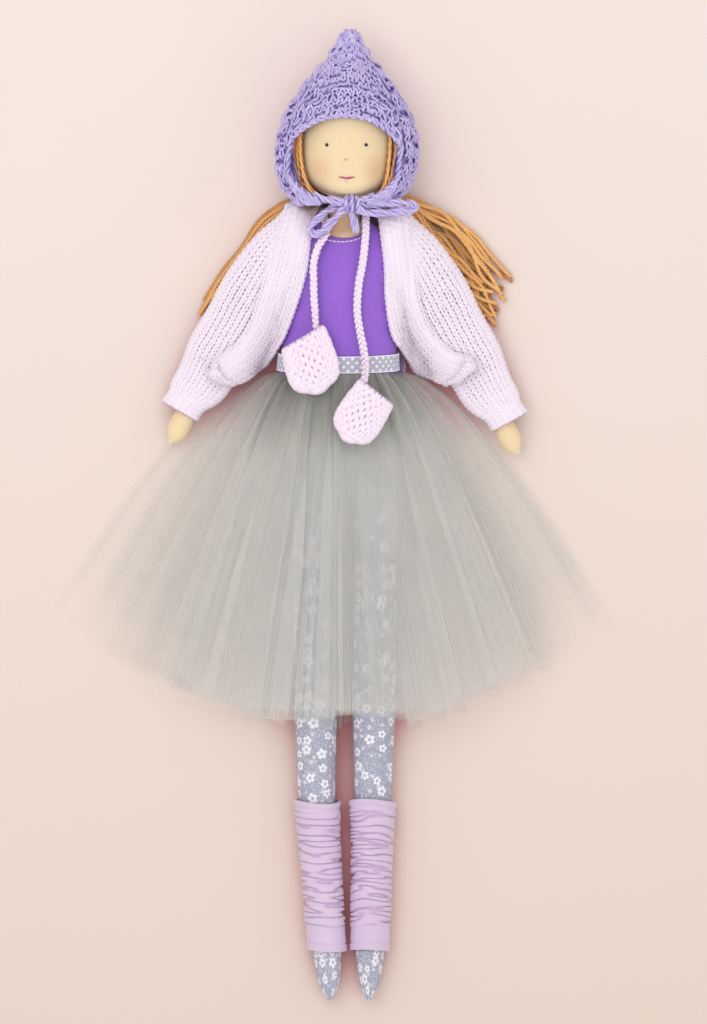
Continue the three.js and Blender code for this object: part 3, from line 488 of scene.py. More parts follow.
THIRDS = np.arange(3)[:, None] / 3


def strands_round(path, facing, shift, lift):
    """Lines beside a path, one for each row of shift, which goes sideways, and lift, which goes out."""
    forward = direction(path)
    side = unit(np.cross(facing, forward))
    return path + shift[..., None] * side + lift[..., None] * np.cross(forward, side)


mitten_cord_path = smooth_path(MITTEN_CORD_ROUTE, 330)
cord_facing = unit(mitten_cord_path - NECK_AXIS)
cord_phase = TURN * (path_length(mitten_cord_path) / PLAIT_PITCH + THIRDS)
cord_lines = strands_round(mitten_cord_path, cord_facing, PLAIT_HALF_WIDTH * np.sin(cord_phase),
                           PLAIT_HALF_HEIGHT * np.sin(2 * cord_phase))
# Painted shade: the strands take the deep tone where they dip under their neighbours.
mitten_cord = yarn_piece("mitten_cord_chain", cord_lines, PLAIT_STRAND, PLAIT_PLY_PITCH, cord_facing,
                         mitten_finish, "mitten_yarn", (0.55 + 0.45 * np.sin(2 * cord_phase))[..., None],
                         around=7, depth=0.1)
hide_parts("mitten_cord")

# %% [markdown]
# The bonnet is tied under the chin. Each tie is a cord of the bonnet's yarn that comes off its rim, goes
# through the knot and comes back to it as one loop of the bow; the right one ends in the short tail. Three
# thick strands are twisted round each other in each tie, and the knot is three rings that wrap both.

# %% Bonnet ties
TIE_DIAMETER, TIE_TWIST, TIE_PLY_PITCH, TIE_UNEVEN = 4.6, 33.0, 15.0, 0.7
TIE_RADIUS, TIE_STRAND = 0.25 * TIE_DIAMETER, 0.58 * TIE_DIAMETER
LEFT_TIE_ROUTE = [
    [-17.6, 58, 51.4], [-13, 56.6, 51.4], [-8, 55.6, 51.2], [-3.2, 54.8, 50.7], [2, 54, 50.6], [7.4, 53, 49.2],
    [13, 53, 48.4], [21, 53.4, 48.8], [30, 53.8, 48.8], [36.2, 53.6, 48.4], [39, 51.6, 48.2], [36.4, 49.4, 48.8],
    [28, 48.6, 49.8], [18, 48.2, 50], [11.5, 48.6, 50.6], [6.8, 50.6, 51.2]]
RIGHT_TIE_ROUTE = [
    [17, 57.6, 51.3], [12, 55.6, 50.8], [7, 54.4, 50.2], [2.4, 53.2, 48.6], [-2.4, 52.4, 47], [-8, 50.2, 47],
    [-13.5, 46.2, 47.4], [-18.2, 41.4, 47.8], [-18.8, 37.6, 48.8], [-15.4, 36.6, 50.2], [-10, 40.3, 51.2],
    [-5.4, 45.2, 51.2], [-1.2, 49.6, 50.6], [2.2, 49.8, 49], [4.2, 46.4, 48.4], [5.4, 42, 48], [6, 37, 47.6]]
KNOT_CENTRE = np.array([3.4, 53.2, 49.8])
KNOT_RINGS = [((-1.9, 0.4, 0.1), 3.4, 1.1), ((0.6, 0.2, 0.6), 4.1, 1.45), ((3.0, -0.2, 0.2), 3.7, 1.9)]
KNOT_HALF_WIDTH, KNOT_STRAND, KNOT_PLY_PITCH, KNOT_FACING = 2.6, 2.9, 12.0, np.array([1.0, 0.3, 0.2])


def knot_ring(shift, half_height, tilt, count=40):
    """A wrap of the knot: an ellipse round its shifted centre, tipped about Y."""
    angle = turns(count)
    flat = np.stack([KNOT_HALF_WIDTH * np.cos(angle), half_height * np.sin(angle), 0 * angle], 1)
    tip = np.array([[math.cos(tilt), 0, math.sin(tilt)], [0, 1, 0], [-math.sin(tilt), 0, math.cos(tilt)]])
    return KNOT_CENTRE + shift + flat @ tip.T


def tie(name, route, replaced):
    """A bonnet tie, with its path and its length."""
    path = smooth_path(route, 150)
    length = path_length(path)
    phase = TURN * (length / TIE_TWIST + THIRDS) + TIE_UNEVEN * np.sin(length / 6 + 6 * THIRDS)
    lines = strands_round(path, UP, TIE_RADIUS * np.cos(phase), TIE_RADIUS * np.sin(phase))
    # Painted shade: each strand darkens where it turns under the other two.
    made = yarn_piece(name, lines, TIE_STRAND, TIE_PLY_PITCH, UP, bonnet_finish, "bonnet_yarn",
                      (0.72 + 0.28 * np.sin(phase))[..., None], around=10, depth=0.2, shade=0.6)
    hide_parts(*replaced)
    return made, path, length[-1]


knot_points, _, knot_lobe = plied(np.stack([knot_ring(*ring) for ring in KNOT_RINGS]), KNOT_STRAND, KNOT_PLY_PITCH,
                                  KNOT_FACING, around=10, depth=0.2, shade=0.5, closed=True)
bow_knot = piece("bow_knot_wraps", knot_points, tube_faces(*knot_points.shape[:3], closed=True), bonnet_finish,
                 "torso", "bonnet_yarn", lobe=knot_lobe, raised=np.full(knot_lobe.shape, 0.7))
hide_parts("bow_knot")
left_tie, left_path, left_length = tie("bonnet_tie_left_cord", LEFT_TIE_ROUTE, ["bonnet_tie_left", "bow_loop_right"])
right_tie, right_path, right_length = tie("bonnet_tie_right_cord", RIGHT_TIE_ROUTE,
                                          ["bonnet_tie_right", "bow_loop_left", "bow_tail"])
print(f"the ties are {left_length:.0f} and {right_length:.0f} mm long")

# %% [markdown]
# The doll's skin is a firm plain cotton that is stuffed hard. Close up it has a fine weave; from afar it is
# an even cream with a little blush rubbed into the cheeks and a slightly darker tone in patches.

# %% Cloth finishes
def weave(made, threads_per_metre):
    """Height of a plain weave: two families of threads that take turns on top, as sin x sin y."""
    x, y, _ = made.parts(made.place())
    return (x * (math.pi * threads_per_metre)).do("SINE") * (y * (math.pi * threads_per_metre)).do("SINE")


def skin_finish(name, cheeks=(), light="#f1deb8", dark="#e6c999", below=None):
    """Skin cotton. A cheek is x, y, radius and strength of its blush, and below is a tone under the skirt."""
    made = Finish(name, Roughness=0.8, Sheen_Weight=0.1, Subsurface_Weight=0.4, Subsurface_Scale=0.005,
                  Subsurface_Radius=(1.0, 0.55, 0.3))
    place = made.place()
    tone = made.mix(made.noise(place, 60.0, 3.0) * 0.35, light, dark)
    if below:
        tone = made.mix(made.range(made.parts(place)[1], -0.02, -0.04), tone, below)
    for x, y, radius, strength in cheeks:
        offset = made.add("ShaderNodeVectorMath", {"operation": "SUBTRACT"}, place, (x * MM, y * MM, 0.055))
        far = made.add("ShaderNodeVectorMath", {"operation": "LENGTH"}, offset, output="Value")
        tone = made.mix(made.range(far, radius * MM, 0.0) * strength, tone, "#dd9a6c")
    threads = weave(made, 1800.0)
    made.set(Base_Color=made.mix(made.range(threads, -1, 1) * 0.06, tone, "#c79f6b"),
             Normal=made.bump(threads, 0.12, 0.0001))
    return made


# %% [markdown]
# The torso and its neck are one sewn shape. The neck is a firm round column that goes up into the head. Under
# the skirt its cloth is a plain pale grey.

# %% Torso and neck
NECK_RADIUS, NECK_TOP, TORSO_ABOVE, TORSO_INSET = 8.6, 66.0, 43.0, 1.6
TORSO_ROWS, TORSO_ROUND = 90, 56
body_y = np.linspace(-TORSO_BELOW + TORSO_INSET, NECK_TOP, TORSO_ROWS)[:, None]
body_wide, body_deep, body_x = torso_section(body_y)
to_neck = smoothstep(body_y, TORSO_ABOVE - 7, TORSO_ABOVE + 3)
body_wide, body_deep = (size * (1 - to_neck) + NECK_RADIUS * to_neck for size in (body_wide, body_deep))
body = ellipse(body_x, body_y, TORSO_Z, body_wide, body_deep, turns(TORSO_ROUND))
torso_finish = skin_finish("torso_cotton", (), "#ffdcae", "#f6c993", "#c9c8c3")
torso_cloth = piece("torso_cloth", body, tube_faces(1, TORSO_ROWS, TORSO_ROUND), torso_finish, "torso",
                    "skin_cloth")
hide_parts("torso_skin")

# %% [markdown]
# The sleeveless top is purple cotton. It fits the torso closely, with a few soft creases from the armholes
# and above the waist ribbon. Its neck edge is folded under and topstitched in a pale thread.

# %% Sleeveless top
NECKLINE_X, NECKLINE_HALF_WIDTH, NECKLINE_HALF_HEIGHT = -2.0, 15.0, 8.5
TOP_HEM, NAPE_DROP, ARMHOLE_DROP, TOP_OUTSIDE, TOP_INSIDE = -41.0, 3.0, 15.0, 1.3, 0.4
TOP_CREASES, CREASE_HEIGHT, CREASE_REACH = ((0.55, 9, 0.75), (0.5, -8, -0.75)), 0.35, 0.25
top_finish = Finish("purple_cotton", Roughness=0.75, Sheen_Weight=0.15)
top_stretch = top_finish.add("ShaderNodeMapping", None, top_finish.place(), Scale=(800.0, 1500.0, 600.0))
top_slub = top_finish.noise(top_stretch, 1.0)
top_tone = top_finish.mix(top_finish.noise(top_finish.place(), 45.0), "#9a66d6", "#8550c6")
top_finish.set(Base_Color=top_finish.mix(top_slub * 0.35, top_tone, "#ad84e2"),
               Normal=top_finish.bump(weave(top_finish, 2300.0) + top_slub, 0.25, 0.00015))

angle = np.linspace(-np.pi / 2, 1.5 * np.pi, 97)[:-1]
beside = np.abs(np.cos(angle)) * 30.0
scoop = TORSO_ABOVE - NECKLINE_HALF_HEIGHT * np.sqrt(np.clip(1 - (beside / NECKLINE_HALF_WIDTH) ** 2, 0, 1))
shoulder = TORSO_ABOVE - ARMHOLE_DROP * smoothstep(beside, 22.0, 29.5)
top_edge = np.minimum(np.where(np.sin(angle) > 0, scoop, TORSO_ABOVE - NAPE_DROP), shoulder)
top_y = TOP_HEM + np.linspace(0, 1, 60)[:, None] * (top_edge - TOP_HEM)


def top_surface(grow):
    """The torso's sections, a little larger, with creases that run in from both armholes."""
    wide, deep, middle = torso_section(top_y, grow)
    crease = 0.0
    for rate, lean, side in TOP_CREASES:
        crease = crease + CREASE_HEIGHT * np.sin(rate * top_y + lean * np.cos(angle)) * np.exp(
            -((np.cos(angle) - side) / CREASE_REACH) ** 2)
    crease = crease * smoothstep(top_y, TORSO_ABOVE + 1, TORSO_ABOVE - 8)
    return ellipse(middle, top_y, TORSO_Z, wide + crease, deep + crease, angle)


top_points = np.concatenate([top_surface(TOP_INSIDE)[::-1], top_surface(TOP_OUTSIDE)])
top = piece("sleeveless_top_cloth", top_points, grid_faces(len(top_points), 96, True, True), top_finish, "torso",
            "purple_cotton")
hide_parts("sleeveless_top")

# %% [markdown]
# A row of topstitching is short stretches of thread with gaps between. Each stitch is its own little rod that
# dips into the cloth at its ends, set out along the neck edge.

# %% Neckline stitching
STITCH_INSET, STITCH_LENGTH, STITCH_GAP, STITCH_RADIUS, STITCH_DIP = 2.2, 1.7, 0.7, 0.33, 0.45
SEAM_FROM, SEAM_TO, SEAM_LIFT = 212, 330, 0.18
stitch_angle = np.radians(np.linspace(SEAM_FROM, SEAM_TO, 200))
seam_x = NECKLINE_X + (NECKLINE_HALF_WIDTH + STITCH_INSET) * np.cos(stitch_angle)
seam_y = TORSO_ABOVE + (NECKLINE_HALF_HEIGHT + STITCH_INSET) * np.sin(stitch_angle)
seam_wide, seam_deep, seam_middle = torso_section(seam_y, TOP_OUTSIDE)
seam_across = np.clip((seam_x - seam_middle) / seam_wide, -0.98, 0.98)
seam = np.stack([seam_x, seam_y, TORSO_Z + seam_deep * np.sqrt(1 - seam_across**2) + SEAM_LIFT], 1)
seam_length = path_length(seam)
stitch_count = int(seam_length[-1] / (STITCH_LENGTH + STITCH_GAP))
starts = np.arange(stitch_count) * (STITCH_LENGTH + STITCH_GAP)
stitches = follow(starts[:, None] + np.linspace(0, STITCH_LENGTH, 6), seam_length, seam)
stitches[..., 2] -= STITCH_DIP * (2 * np.linspace(0, 1, 6) - 1) ** 4
stitch_points = carry(stitches, circle(6, STITCH_RADIUS), UP)
full = np.ones(stitch_points.shape[:-1])
neck_stitches = piece("neckline_stitches", stitch_points, tube_faces(stitch_count, 6, 6), thread_finish, "torso",
                      "pale_thread", lobe=full, raised=full)
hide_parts("neckline_stitching")

# %% [markdown]
# The waist ribbon is a pale grey satin band with white dots in two staggered rows and white woven edges. It
# sags a little at the front. Its UVs are millimetres round the waist and across the band, which place the dots.

# %% Waist ribbon
RIBBON_WIDTH, RIBBON_Y, RIBBON_SAG, RIBBON_ROUND = 9.5, -34.4, 2.3, 31.0
RIBBON_OUTSIDE, RIBBON_INSIDE = 2.9, 1.9
DOT_SPACING, DOT_RADIUS, DOT_BLUR, EDGE_WIDTH, RIB_WIDTH = 4.6, 0.85, 0.12, 0.75, 0.45
ribbon_finish = Finish("dotted_ribbon", Roughness=0.45, Sheen_Weight=0.2)
ribbon_u, ribbon_v, _ = ribbon_finish.parts(ribbon_finish.uv())
from_middle = ribbon_v - RIBBON_WIDTH / 2
rows_up = from_middle * (2 / DOT_SPACING)
dot_u = ((ribbon_u / DOT_SPACING + rows_up.do("FLOOR") * 0.5).do("FRACT") - 0.5) * DOT_SPACING
dot_v = (rows_up.do("FRACT") - 0.5) * (DOT_SPACING / 2)
dot_far = (dot_u * dot_u + dot_v * dot_v).do("SQRT")
dots = ribbon_finish.range(dot_far, DOT_RADIUS + DOT_BLUR, DOT_RADIUS - DOT_BLUR)
edge_start = RIBBON_WIDTH / 2 - EDGE_WIDTH
ribbon_marks = dots.do("MAXIMUM", ribbon_finish.range(from_middle.do("ABSOLUTE"), edge_start, edge_start + 0.2))
ribbon_ribs = (ribbon_v * (TURN / RIB_WIDTH)).do("SINE")
ribbon_base = ribbon_finish.mix(ribbon_finish.range(ribbon_ribs, -1, 1) * 0.25, "#b9bccd", "#9fa3b8")
ribbon_finish.set(Base_Color=ribbon_finish.mix(ribbon_marks, ribbon_base, "#f3f2fb"),
                  Normal=ribbon_finish.bump(ribbon_ribs + ribbon_marks * 1.5, 0.3, 0.0001))

band = np.array([0.0, 0.03, 0.12, 0.3, 0.5, 0.7, 0.88, 0.97, 1.0])
RIBBON_COLUMNS = 120
around = turns(RIBBON_COLUMNS)
ribbon_points, ribbon_uv = [], []
for grow, across in ((RIBBON_OUTSIDE, band[:, None]), (RIBBON_INSIDE, band[::-1, None])):
    y = RIBBON_Y + (across - 0.5) * RIBBON_WIDTH
    wide, deep, middle = torso_section(y, grow)
    fold = 0.18 * np.sin(17 * around) + 0.12 * np.sin(29 * around + 1)
    ribbon_points.append(ellipse(middle, y - RIBBON_SAG * np.sin(around), TORSO_Z, wide + fold, deep + fold, around))
    ribbon_uv.append(np.stack(np.broadcast_arrays(around * RIBBON_ROUND, across * RIBBON_WIDTH), -1))
ribbon = piece("waist_ribbon_band", np.concatenate(ribbon_points),
               grid_faces(2 * len(band), RIBBON_COLUMNS, True, True), ribbon_finish, "torso", "dotted_ribbon",
               np.concatenate(ribbon_uv))
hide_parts("waist_ribbon")

# %% [markdown]
# The head is a broad, firm, rounded form with a soft chin. Its eyes are two dark knots, its nose two faint
# short stitches, and its mouth a curved line of stitches in rose, with pale stitches above and below its
# middle that are a painted highlight.

# %% Head
HEAD_POWERS, FACE_PLY_PITCH = (6.0, 18.0), 1.6
RIGHT_CHEEK, LEFT_CHEEK = (19.5, 72.0, 12.0, 0.62), (-15.5, 72.0, 11.0, 0.42)


def head_section(share):
    """Half width, half depth and middle of the head's section. Both halves are rounded off towards the crown and
    the chin, as the root of 1 - |2 share - 1|^power."""
    wide, deep, forward = along(HEAD_SHARES, share, 0.035)
    round_wide, round_deep = (np.sqrt(1 - np.abs(2 * share - 1) ** power) for power in HEAD_POWERS)
    return (wide * round_wide * HEAD_HALF_WIDTH, deep * round_deep * HEAD_HALF_DEPTH, HEAD_X * forward,
            TORSO_Z + (HEAD_Z - TORSO_Z) * forward)


head_share = np.concatenate([[0.0, 0.004], np.linspace(0.012, 0.988, 66), [0.996, 1.0]])[:, None]
head_wide, head_deep, head_x, head_z = head_section(head_share)
head = ellipse(head_x, HEAD_BASE + head_share * HEAD_LENGTH, head_z, head_wide + 0.02, head_deep + 0.02, turns(64))
face_finish = skin_finish("face_cotton", [RIGHT_CHEEK, LEFT_CHEEK])
head_cloth = piece("head_cloth", head, tube_faces(1, len(head), 64), face_finish, "torso", "skin_cloth")
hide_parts("head_skin")


def face_stitch(name, places, diameter, finish, slot, replaced=None):
    """Short threads on the face, each from one place to another, bowed over the cloth."""
    t = np.linspace(0, 1, 9)[None, :, None]
    places = np.asarray(places, float)
    lines = places[:, 0, None] * (1 - t) + places[:, 1, None] * t
    wide, deep, middle, height = head_section((lines[..., 1] - HEAD_BASE) / HEAD_LENGTH)
    across = np.clip((lines[..., 0] - middle) / wide, -0.99, 0.99)
    bow = 0.35 * diameter - 0.5 * diameter * (2 * t[..., 0] - 1) ** 4
    height = height + deep * np.sqrt(1 - across**2) + bow
    made = yarn_piece(name, np.concatenate([lines, height[..., None]], -1), diameter, FACE_PLY_PITCH, UP,
                      finish, slot, 1.0, plies=2, around=8, depth=0.12)
    if replaced:
        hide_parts(replaced)


def thread_colour(name, light, dark):
    made = Finish(name, Roughness=0.55, Sheen_Weight=0.2)
    # Painted shade: the thread is darker where lobe is low, in its grooves and on its sides.
    lobe = made.range(made.attribute("lobe"), -1, 1)
    made.set(Base_Color=made.mix(lobe, dark, light), Normal=made.bump(lobe, 0.4, 0.0001))
    return made


EYE_Y, EYE_RADIUS, EYE_THREAD = 86.0, 0.55, 1.2
dark_thread = thread_colour("eye_thread", "#3a2a26", "#15100f")
tilt = np.radians([0, 60, 120])
eye_ends = EYE_RADIUS * np.stack([np.cos(tilt), np.sin(tilt)], 1)
for eye_name, eye_x in (("eye_left", -10.1), ("eye_right", 11.8)):
    centre = np.array([eye_x, EYE_Y])
    face_stitch(f"{eye_name}_knot", np.stack([centre - eye_ends, centre + eye_ends], 1), EYE_THREAD, dark_thread,
                "dark_thread", eye_name)
NOSE = [[[-0.6, 77.7], [0.6, 77.3]], [[0.2, 78.2], [1.3, 78.0]]]
MOUTH = [[[-3.4, 68.1], [-0.6, 67.4]], [[-0.8, 67.5], [1.3, 67.2]], [[1.1, 67.2], [3.2, 67.4]],
         [[3.0, 67.3], [5.2, 68.1]], [[-1.9, 68.0], [0.6, 67.8]], [[0.9, 67.8], [3.6, 68.0]]]
MOUTH_HIGHLIGHT = [[[-0.7, 68.6], [0.9, 68.3]], [[0.9, 68.3], [2.7, 68.6]], [[0.0, 66.3], [1.8, 66.2]],
                   [[0.3, 65.5], [1.4, 65.4]]]
rose_thread = thread_colour("mouth_thread", "#d2687a", "#b54a5e")
# Painted highlight: pale thread for the light that the rose mouth catches.
painted_highlight_thread = thread_colour("mouth_highlight_thread", "#fbe9e6", "#eebfbd")
nose_thread = thread_colour("nose_thread", "#d5b189", "#bf9470")
face_stitch("nose_dash", NOSE, 0.42, nose_thread, "nose_thread", "nose_stitch")
face_stitch("mouth_line", MOUTH, 0.75, rose_thread, "mouth_thread", "mouth_stitch")
# Painted highlight: pale stitches above and below the middle of the mouth.
face_stitch("mouth_highlight", MOUTH_HIGHLIGHT, 0.85, painted_highlight_thread, "mouth_thread")

# %% [markdown]
# An arm is a slim stuffed tube whose hand is a plain pointed mitt, a little wider than the wrist. Its sections
# stand square to the arm and bend slightly down to the table.

# %% Arms
ARM_SHARES = [
    [0, 0.98, 0.98], [0.2, 1, 1], [0.5, 0.95, 0.95], [0.85, 0.8, 0.8], [0.9, 0.92, 0.82], [0.95, 0.82, 0.7],
    [0.985, 0.45, 0.45], [1, 0, 0]]


def arm_line(side):
    """The shoulder, the way to the wrist, its direction seen from above and its length seen from above."""
    shoulder = np.array(SHOULDER[side])
    way = np.array(WRIST[side]) - shoulder
    return shoulder, way, unit(way[:2]), float(np.linalg.norm(way[:2]))


def arm_section(side, share, angle, half_width, half_depth, standoff=0.0, outwards=0.0, power=2.0):
    """Points round the arm. The section is square to X at the shoulder and turns square to the arm, and the
    middle drops from the shoulder's height to the wrist's. outwards shifts it away from the body, and a power
    over 2 in |x|^p + |y|^p = 1 makes it fuller at its corners."""
    shoulder, way, ahead, _ = arm_line(side)
    share, angle = np.broadcast_arrays(share, angle)
    centre = shoulder + way * share[..., None]
    centre[..., 2] = shoulder[2] + way[2] * along(SLEEVE_DROP, share, 0.05)[0]
    centre[..., 0] += side * standoff
    turn = math.atan2(-ahead[1], side * ahead[0]) * smoothstep(share, 0, TURN_SHARE)
    across = np.stack([side * np.sin(turn), np.cos(turn), 0 * turn], -1)
    full = (np.abs(np.cos(angle)) ** power + np.abs(np.sin(angle)) ** power) ** (-1 / power)
    point = centre + across * (half_width * full * np.cos(angle) + outwards)[..., None]
    point[..., 2] += half_depth * full * np.sin(angle)
    return point


arm_finish = skin_finish("arm_cotton")
arm_share = np.concatenate([[0.0], np.linspace(0.004, 0.975, 60), [0.985, 0.992, 0.997, 0.9995]])[:, None]
taper = np.sqrt(np.clip(1 - smoothstep(arm_share, 0.9, 1.0) ** 3, 0, 1))
wide, deep = (size * taper * ARM_RADIUS + 0.03 for size in along(ARM_SHARES, arm_share, 0.012))
hand_bend = -0.9 * smoothstep(arm_share, 0.84, 1.0)
for side, word in SIDES.items():
    reach = arm_line(side)[3]
    rings = arm_section(side, arm_share * (reach + HAND_LENGTH) / reach, turns(32), wide, deep, 0.0, hand_bend)
    arm = piece(f"arm_cloth_{word}", rings, tube_faces(1, len(rings), 32), arm_finish, f"arm_{word}", "skin_cloth")
    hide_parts(f"arm_skin_{word}")

# %% [markdown]
# Knitting is one yarn that runs back and forth in loops, each pulled through the one below. Seen from its
# right side, only the legs of the loops show, as columns of small V shapes, because the heads and feet pass
# behind. The head of a loop is wider than its foot, which is what makes the legs lean apart. A short formula
# gives that path, so a whole row of loops is one tube laid on the garment's surface.

# %% Rows of knitted loops
# Raised values of the layer under the loops: low outside, for painted shade, and high inside.
BACKING_SHADES = (-0.1, 0.7)


def surface_frame(surface, u, v, step=0.002):
    """Points of a surface and its unit normals, from the cross product of its two slopes."""
    slope_u = surface(u + step, v) - surface(u - step, v)
    slope_v = surface(u, v + step) - surface(u, v - step)
    return surface(u, v), unit(np.cross(slope_u, slope_v))


def outer_side(surface, closed):
    """+1 if the normals point out of a closed surface, or up from an open one, and -1 if they don't."""
    at, normal = surface_frame(surface, *np.meshgrid(np.arange(12) / 12, [0.3, 0.4, 0.5]))
    return 1 if (normal * (at - at.mean(1, keepdims=True) if closed else UP)).sum() > 0 else -1


def knitted(surface, wales, courses, yarn, rise, closed, outward, lean=0.28, reach=0.82, per_stitch=8, around=5,
            purl=None, stagger=0.0, jitter=0.0, pinch=0.0, sink=0.4, shown=None):
    """Tubes of loops, one for each course. For the angle t of a stitch, u moves as t / 2 pi + lean sin 2t +
    pinch sin t, where pinch draws its legs together, v as reach cos t, and the height as -rise cos 2t. purl
    turns the stitch over where it is -1. stagger shifts every other course, jitter moves each stitch by a
    random share of itself, sink paints shade on the sides of the yarn, and shown says where the cloth's other
    side is seen, which takes less of that painted shade."""
    t = np.arange(wales * per_stitch + (not closed)) * TURN / per_stitch
    t, row = np.broadcast_arrays(t, np.arange(courses)[:, None])
    knots = np.random.default_rng(wales).normal(0, jitter, (2, courses, wales + 1))
    knots[:, :, -1] = knots[:, :, 0]
    stitch = np.linspace(0, wales, t.shape[1], endpoint=not closed)
    shift_u, shift_v = ([np.interp(stitch, np.arange(wales + 1), line) for line in moved] for moved in knots)
    u = (t / TURN + lean * np.sin(2 * t) + pinch * np.sin(t) + stagger * (row % 2) + shift_u) / wales
    v = np.clip((row + 0.5 - reach * np.cos(t) + shift_v) / courses, 0.0, 1.0)
    middle, normal = surface_frame(surface, u, v)
    normal = normal * outward
    height = -rise * np.cos(2 * t) * (purl(t / TURN, row) if purl else 1.0)
    section = circle(around, yarn / 2)[:, ::-1]
    points = carry(middle + normal * height[..., None], section, normal, closed)
    # Painted shade: the finish darkens the loops where they sit low, and on the sides of the yarn.
    raised = (0.5 + 0.5 * height / rise)[..., None]
    painted_side_shade = sink * (1 - 2 * section[:, 1] / yarn)
    if shown:
        turned_up = shown(v)[..., None]
        raised, painted_side_shade = np.maximum(raised, turned_up), painted_side_shade * (1 - turned_up)
    length = np.cumsum(np.full(t.shape, yarn * 0.6), axis=1)[..., None]
    uv = np.stack(np.broadcast_arrays(length, np.arange(around) / around), -1)
    return points, uv, raised - painted_side_shade, tube_faces(*points.shape[:3], closed)


def backing(surface, rows, columns, depths, closed):
    """A thin closed layer under the loops: the surface at two depths, joined at its edges. It is dark outside,
    a painted shade that shows in the gaps between loops, and pale inside."""
    u, v = np.linspace(0, 1, columns, endpoint=not closed), np.linspace(0, 1, rows)
    middle, normal = surface_frame(surface, *np.meshgrid(u, v))
    outer, inner = (middle - depth * normal for depth in depths)
    if closed:
        points, shade = np.concatenate([outer, inner[::-1]]), np.repeat(BACKING_SHADES, rows)[:, None]
        return points, grid_faces(2 * rows, columns, True, True), np.broadcast_to(shade, points.shape[:2])
    points, shade = np.concatenate([outer, inner[:, ::-1]], axis=1), np.repeat(BACKING_SHADES, columns)
    half = np.arange(columns - 1)
    ends = np.stack([half, half + 1, 2 * columns - 2 - half, 2 * columns - 1 - half], 1)
    faces = [grid_faces(rows, 2 * columns, closed_columns=True), ends[:, ::-1], ends + (rows - 1) * 2 * columns]
    return points, faces, np.broadcast_to(shade, points.shape[:2])


def garment(name, surface, wales, courses, yarn, rise, closed, finish, body, slot, layer=(0.5, 1.2),
            rows=60, columns=60, flat=(0.0, 1.0), **loops):
    """A knitted piece: its loops and, under them, a backing from flat's first u and up to its second v, whose
    dark outside is painted shade between the loops.
    """
    outward = outer_side(surface, closed)
    points, uv, raised, faces = knitted(surface, wales, courses, yarn, rise, closed, outward, **loops)
    under, under_faces, shade = backing(lambda u, v: surface(flat[0] + (1 - flat[0]) * u, v * flat[1]), rows,
                                        columns, [outward * (rise + depth) for depth in layer], closed)
    under_faces = turned_out(under, under_faces if isinstance(under_faces, list) else [under_faces])
    faces = turned_out(points, faces) + [block + raised.size for block in under_faces]
    points = np.concatenate([points.reshape(-1, 3), under.reshape(-1, 3)])
    uv = np.concatenate([uv.reshape(-1, 2), np.zeros((shade.size, 2))])
    return piece(name, points, faces, finish, body, slot, uv, closed=False,
                 raised=np.concatenate([raised.ravel(), shade.ravel()]),
                 lobe=np.cos(3 * TURN * uv[:, 1] + 1.2 * uv[:, 0]))


print("knitting ready")

# %% [markdown]
# A sleeve is knitted in rounds, so its columns of stitches run down the arm. It is loose at the top and draws
# in to the cuff, whose last rounds curl out a little.

# %% Sleeves
KNIT_YARN, KNIT_RISE = 1.6, 0.5
SLEEVE_ROUND, SLEEVE_ROUNDS, SLEEVE_INSET = 33, 46, -1.1
STOCKING_STITCH = dict(lean=0.26, pinch=0.035, jitter=0.05)
CUFF_CURL, CUFF_GROOVE, CUFF_NARROWER, CUFF_OUTWARDS = 1.3, 0.5, 0.2, 2.6
SLEEVE_CREASE, SLEEVE_POWER = 0.5, 2.7


def sleeve_surface(side):
    """The sleeve's surface: u goes once round, v from the shoulder to the cuff."""
    def at(u, v):
        angle = TURN * u
        wide, deep = along(SLEEVE_SHARES, v, 0.03)
        curl = CUFF_CURL * smoothstep(v, 0.95, 0.99) - CUFF_GROOVE * np.exp(-((v - 0.93) / 0.015) ** 2) + SLEEVE_INSET
        creases = SLEEVE_CREASE * np.sin(19 * v + 2 * np.cos(angle))
        creases = creases * smoothstep(v, 0.1, 0.3) * (1 - smoothstep(v, 0.8, 0.95))
        wide = wide * (1 - CUFF_NARROWER * smoothstep(v, 0.86, 1.0))
        return arm_section(side, v, angle, wide * SLEEVE_HALF_WIDTH + curl + creases,
                           deep * SLEEVE_HALF_DEPTH + curl + 0.5 * creases, SLEEVE_STANDOFF,
                           CUFF_OUTWARDS * smoothstep(v, 0.82, 1.0), power=SLEEVE_POWER)
    return at


for side, word in SIDES.items():
    sleeve = garment(f"cardigan_sleeve_{word}_knit", sleeve_surface(side), SLEEVE_ROUND, SLEEVE_ROUNDS, KNIT_YARN,
                     KNIT_RISE, True, cardigan_finish, f"arm_{word}", "cardigan_yarn", rows=100, **STOCKING_STITCH)
    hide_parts(f"cardigan_sleeve_{word}")

# %% [markdown]
# A cardigan front is a flat panel that lies on the chest and on the sleeve. Stocking stitch never lies flat:
# its side edge curls under and its hem curls up, so the surface ends in two rolls. The free edge runs down
# from the neck and swings out over the sleeve. The other side is sewn to the sleeve at the top and sinks to
# it there; lower down it is free too and curls under, which leaves a soft shadow along the sleeve.

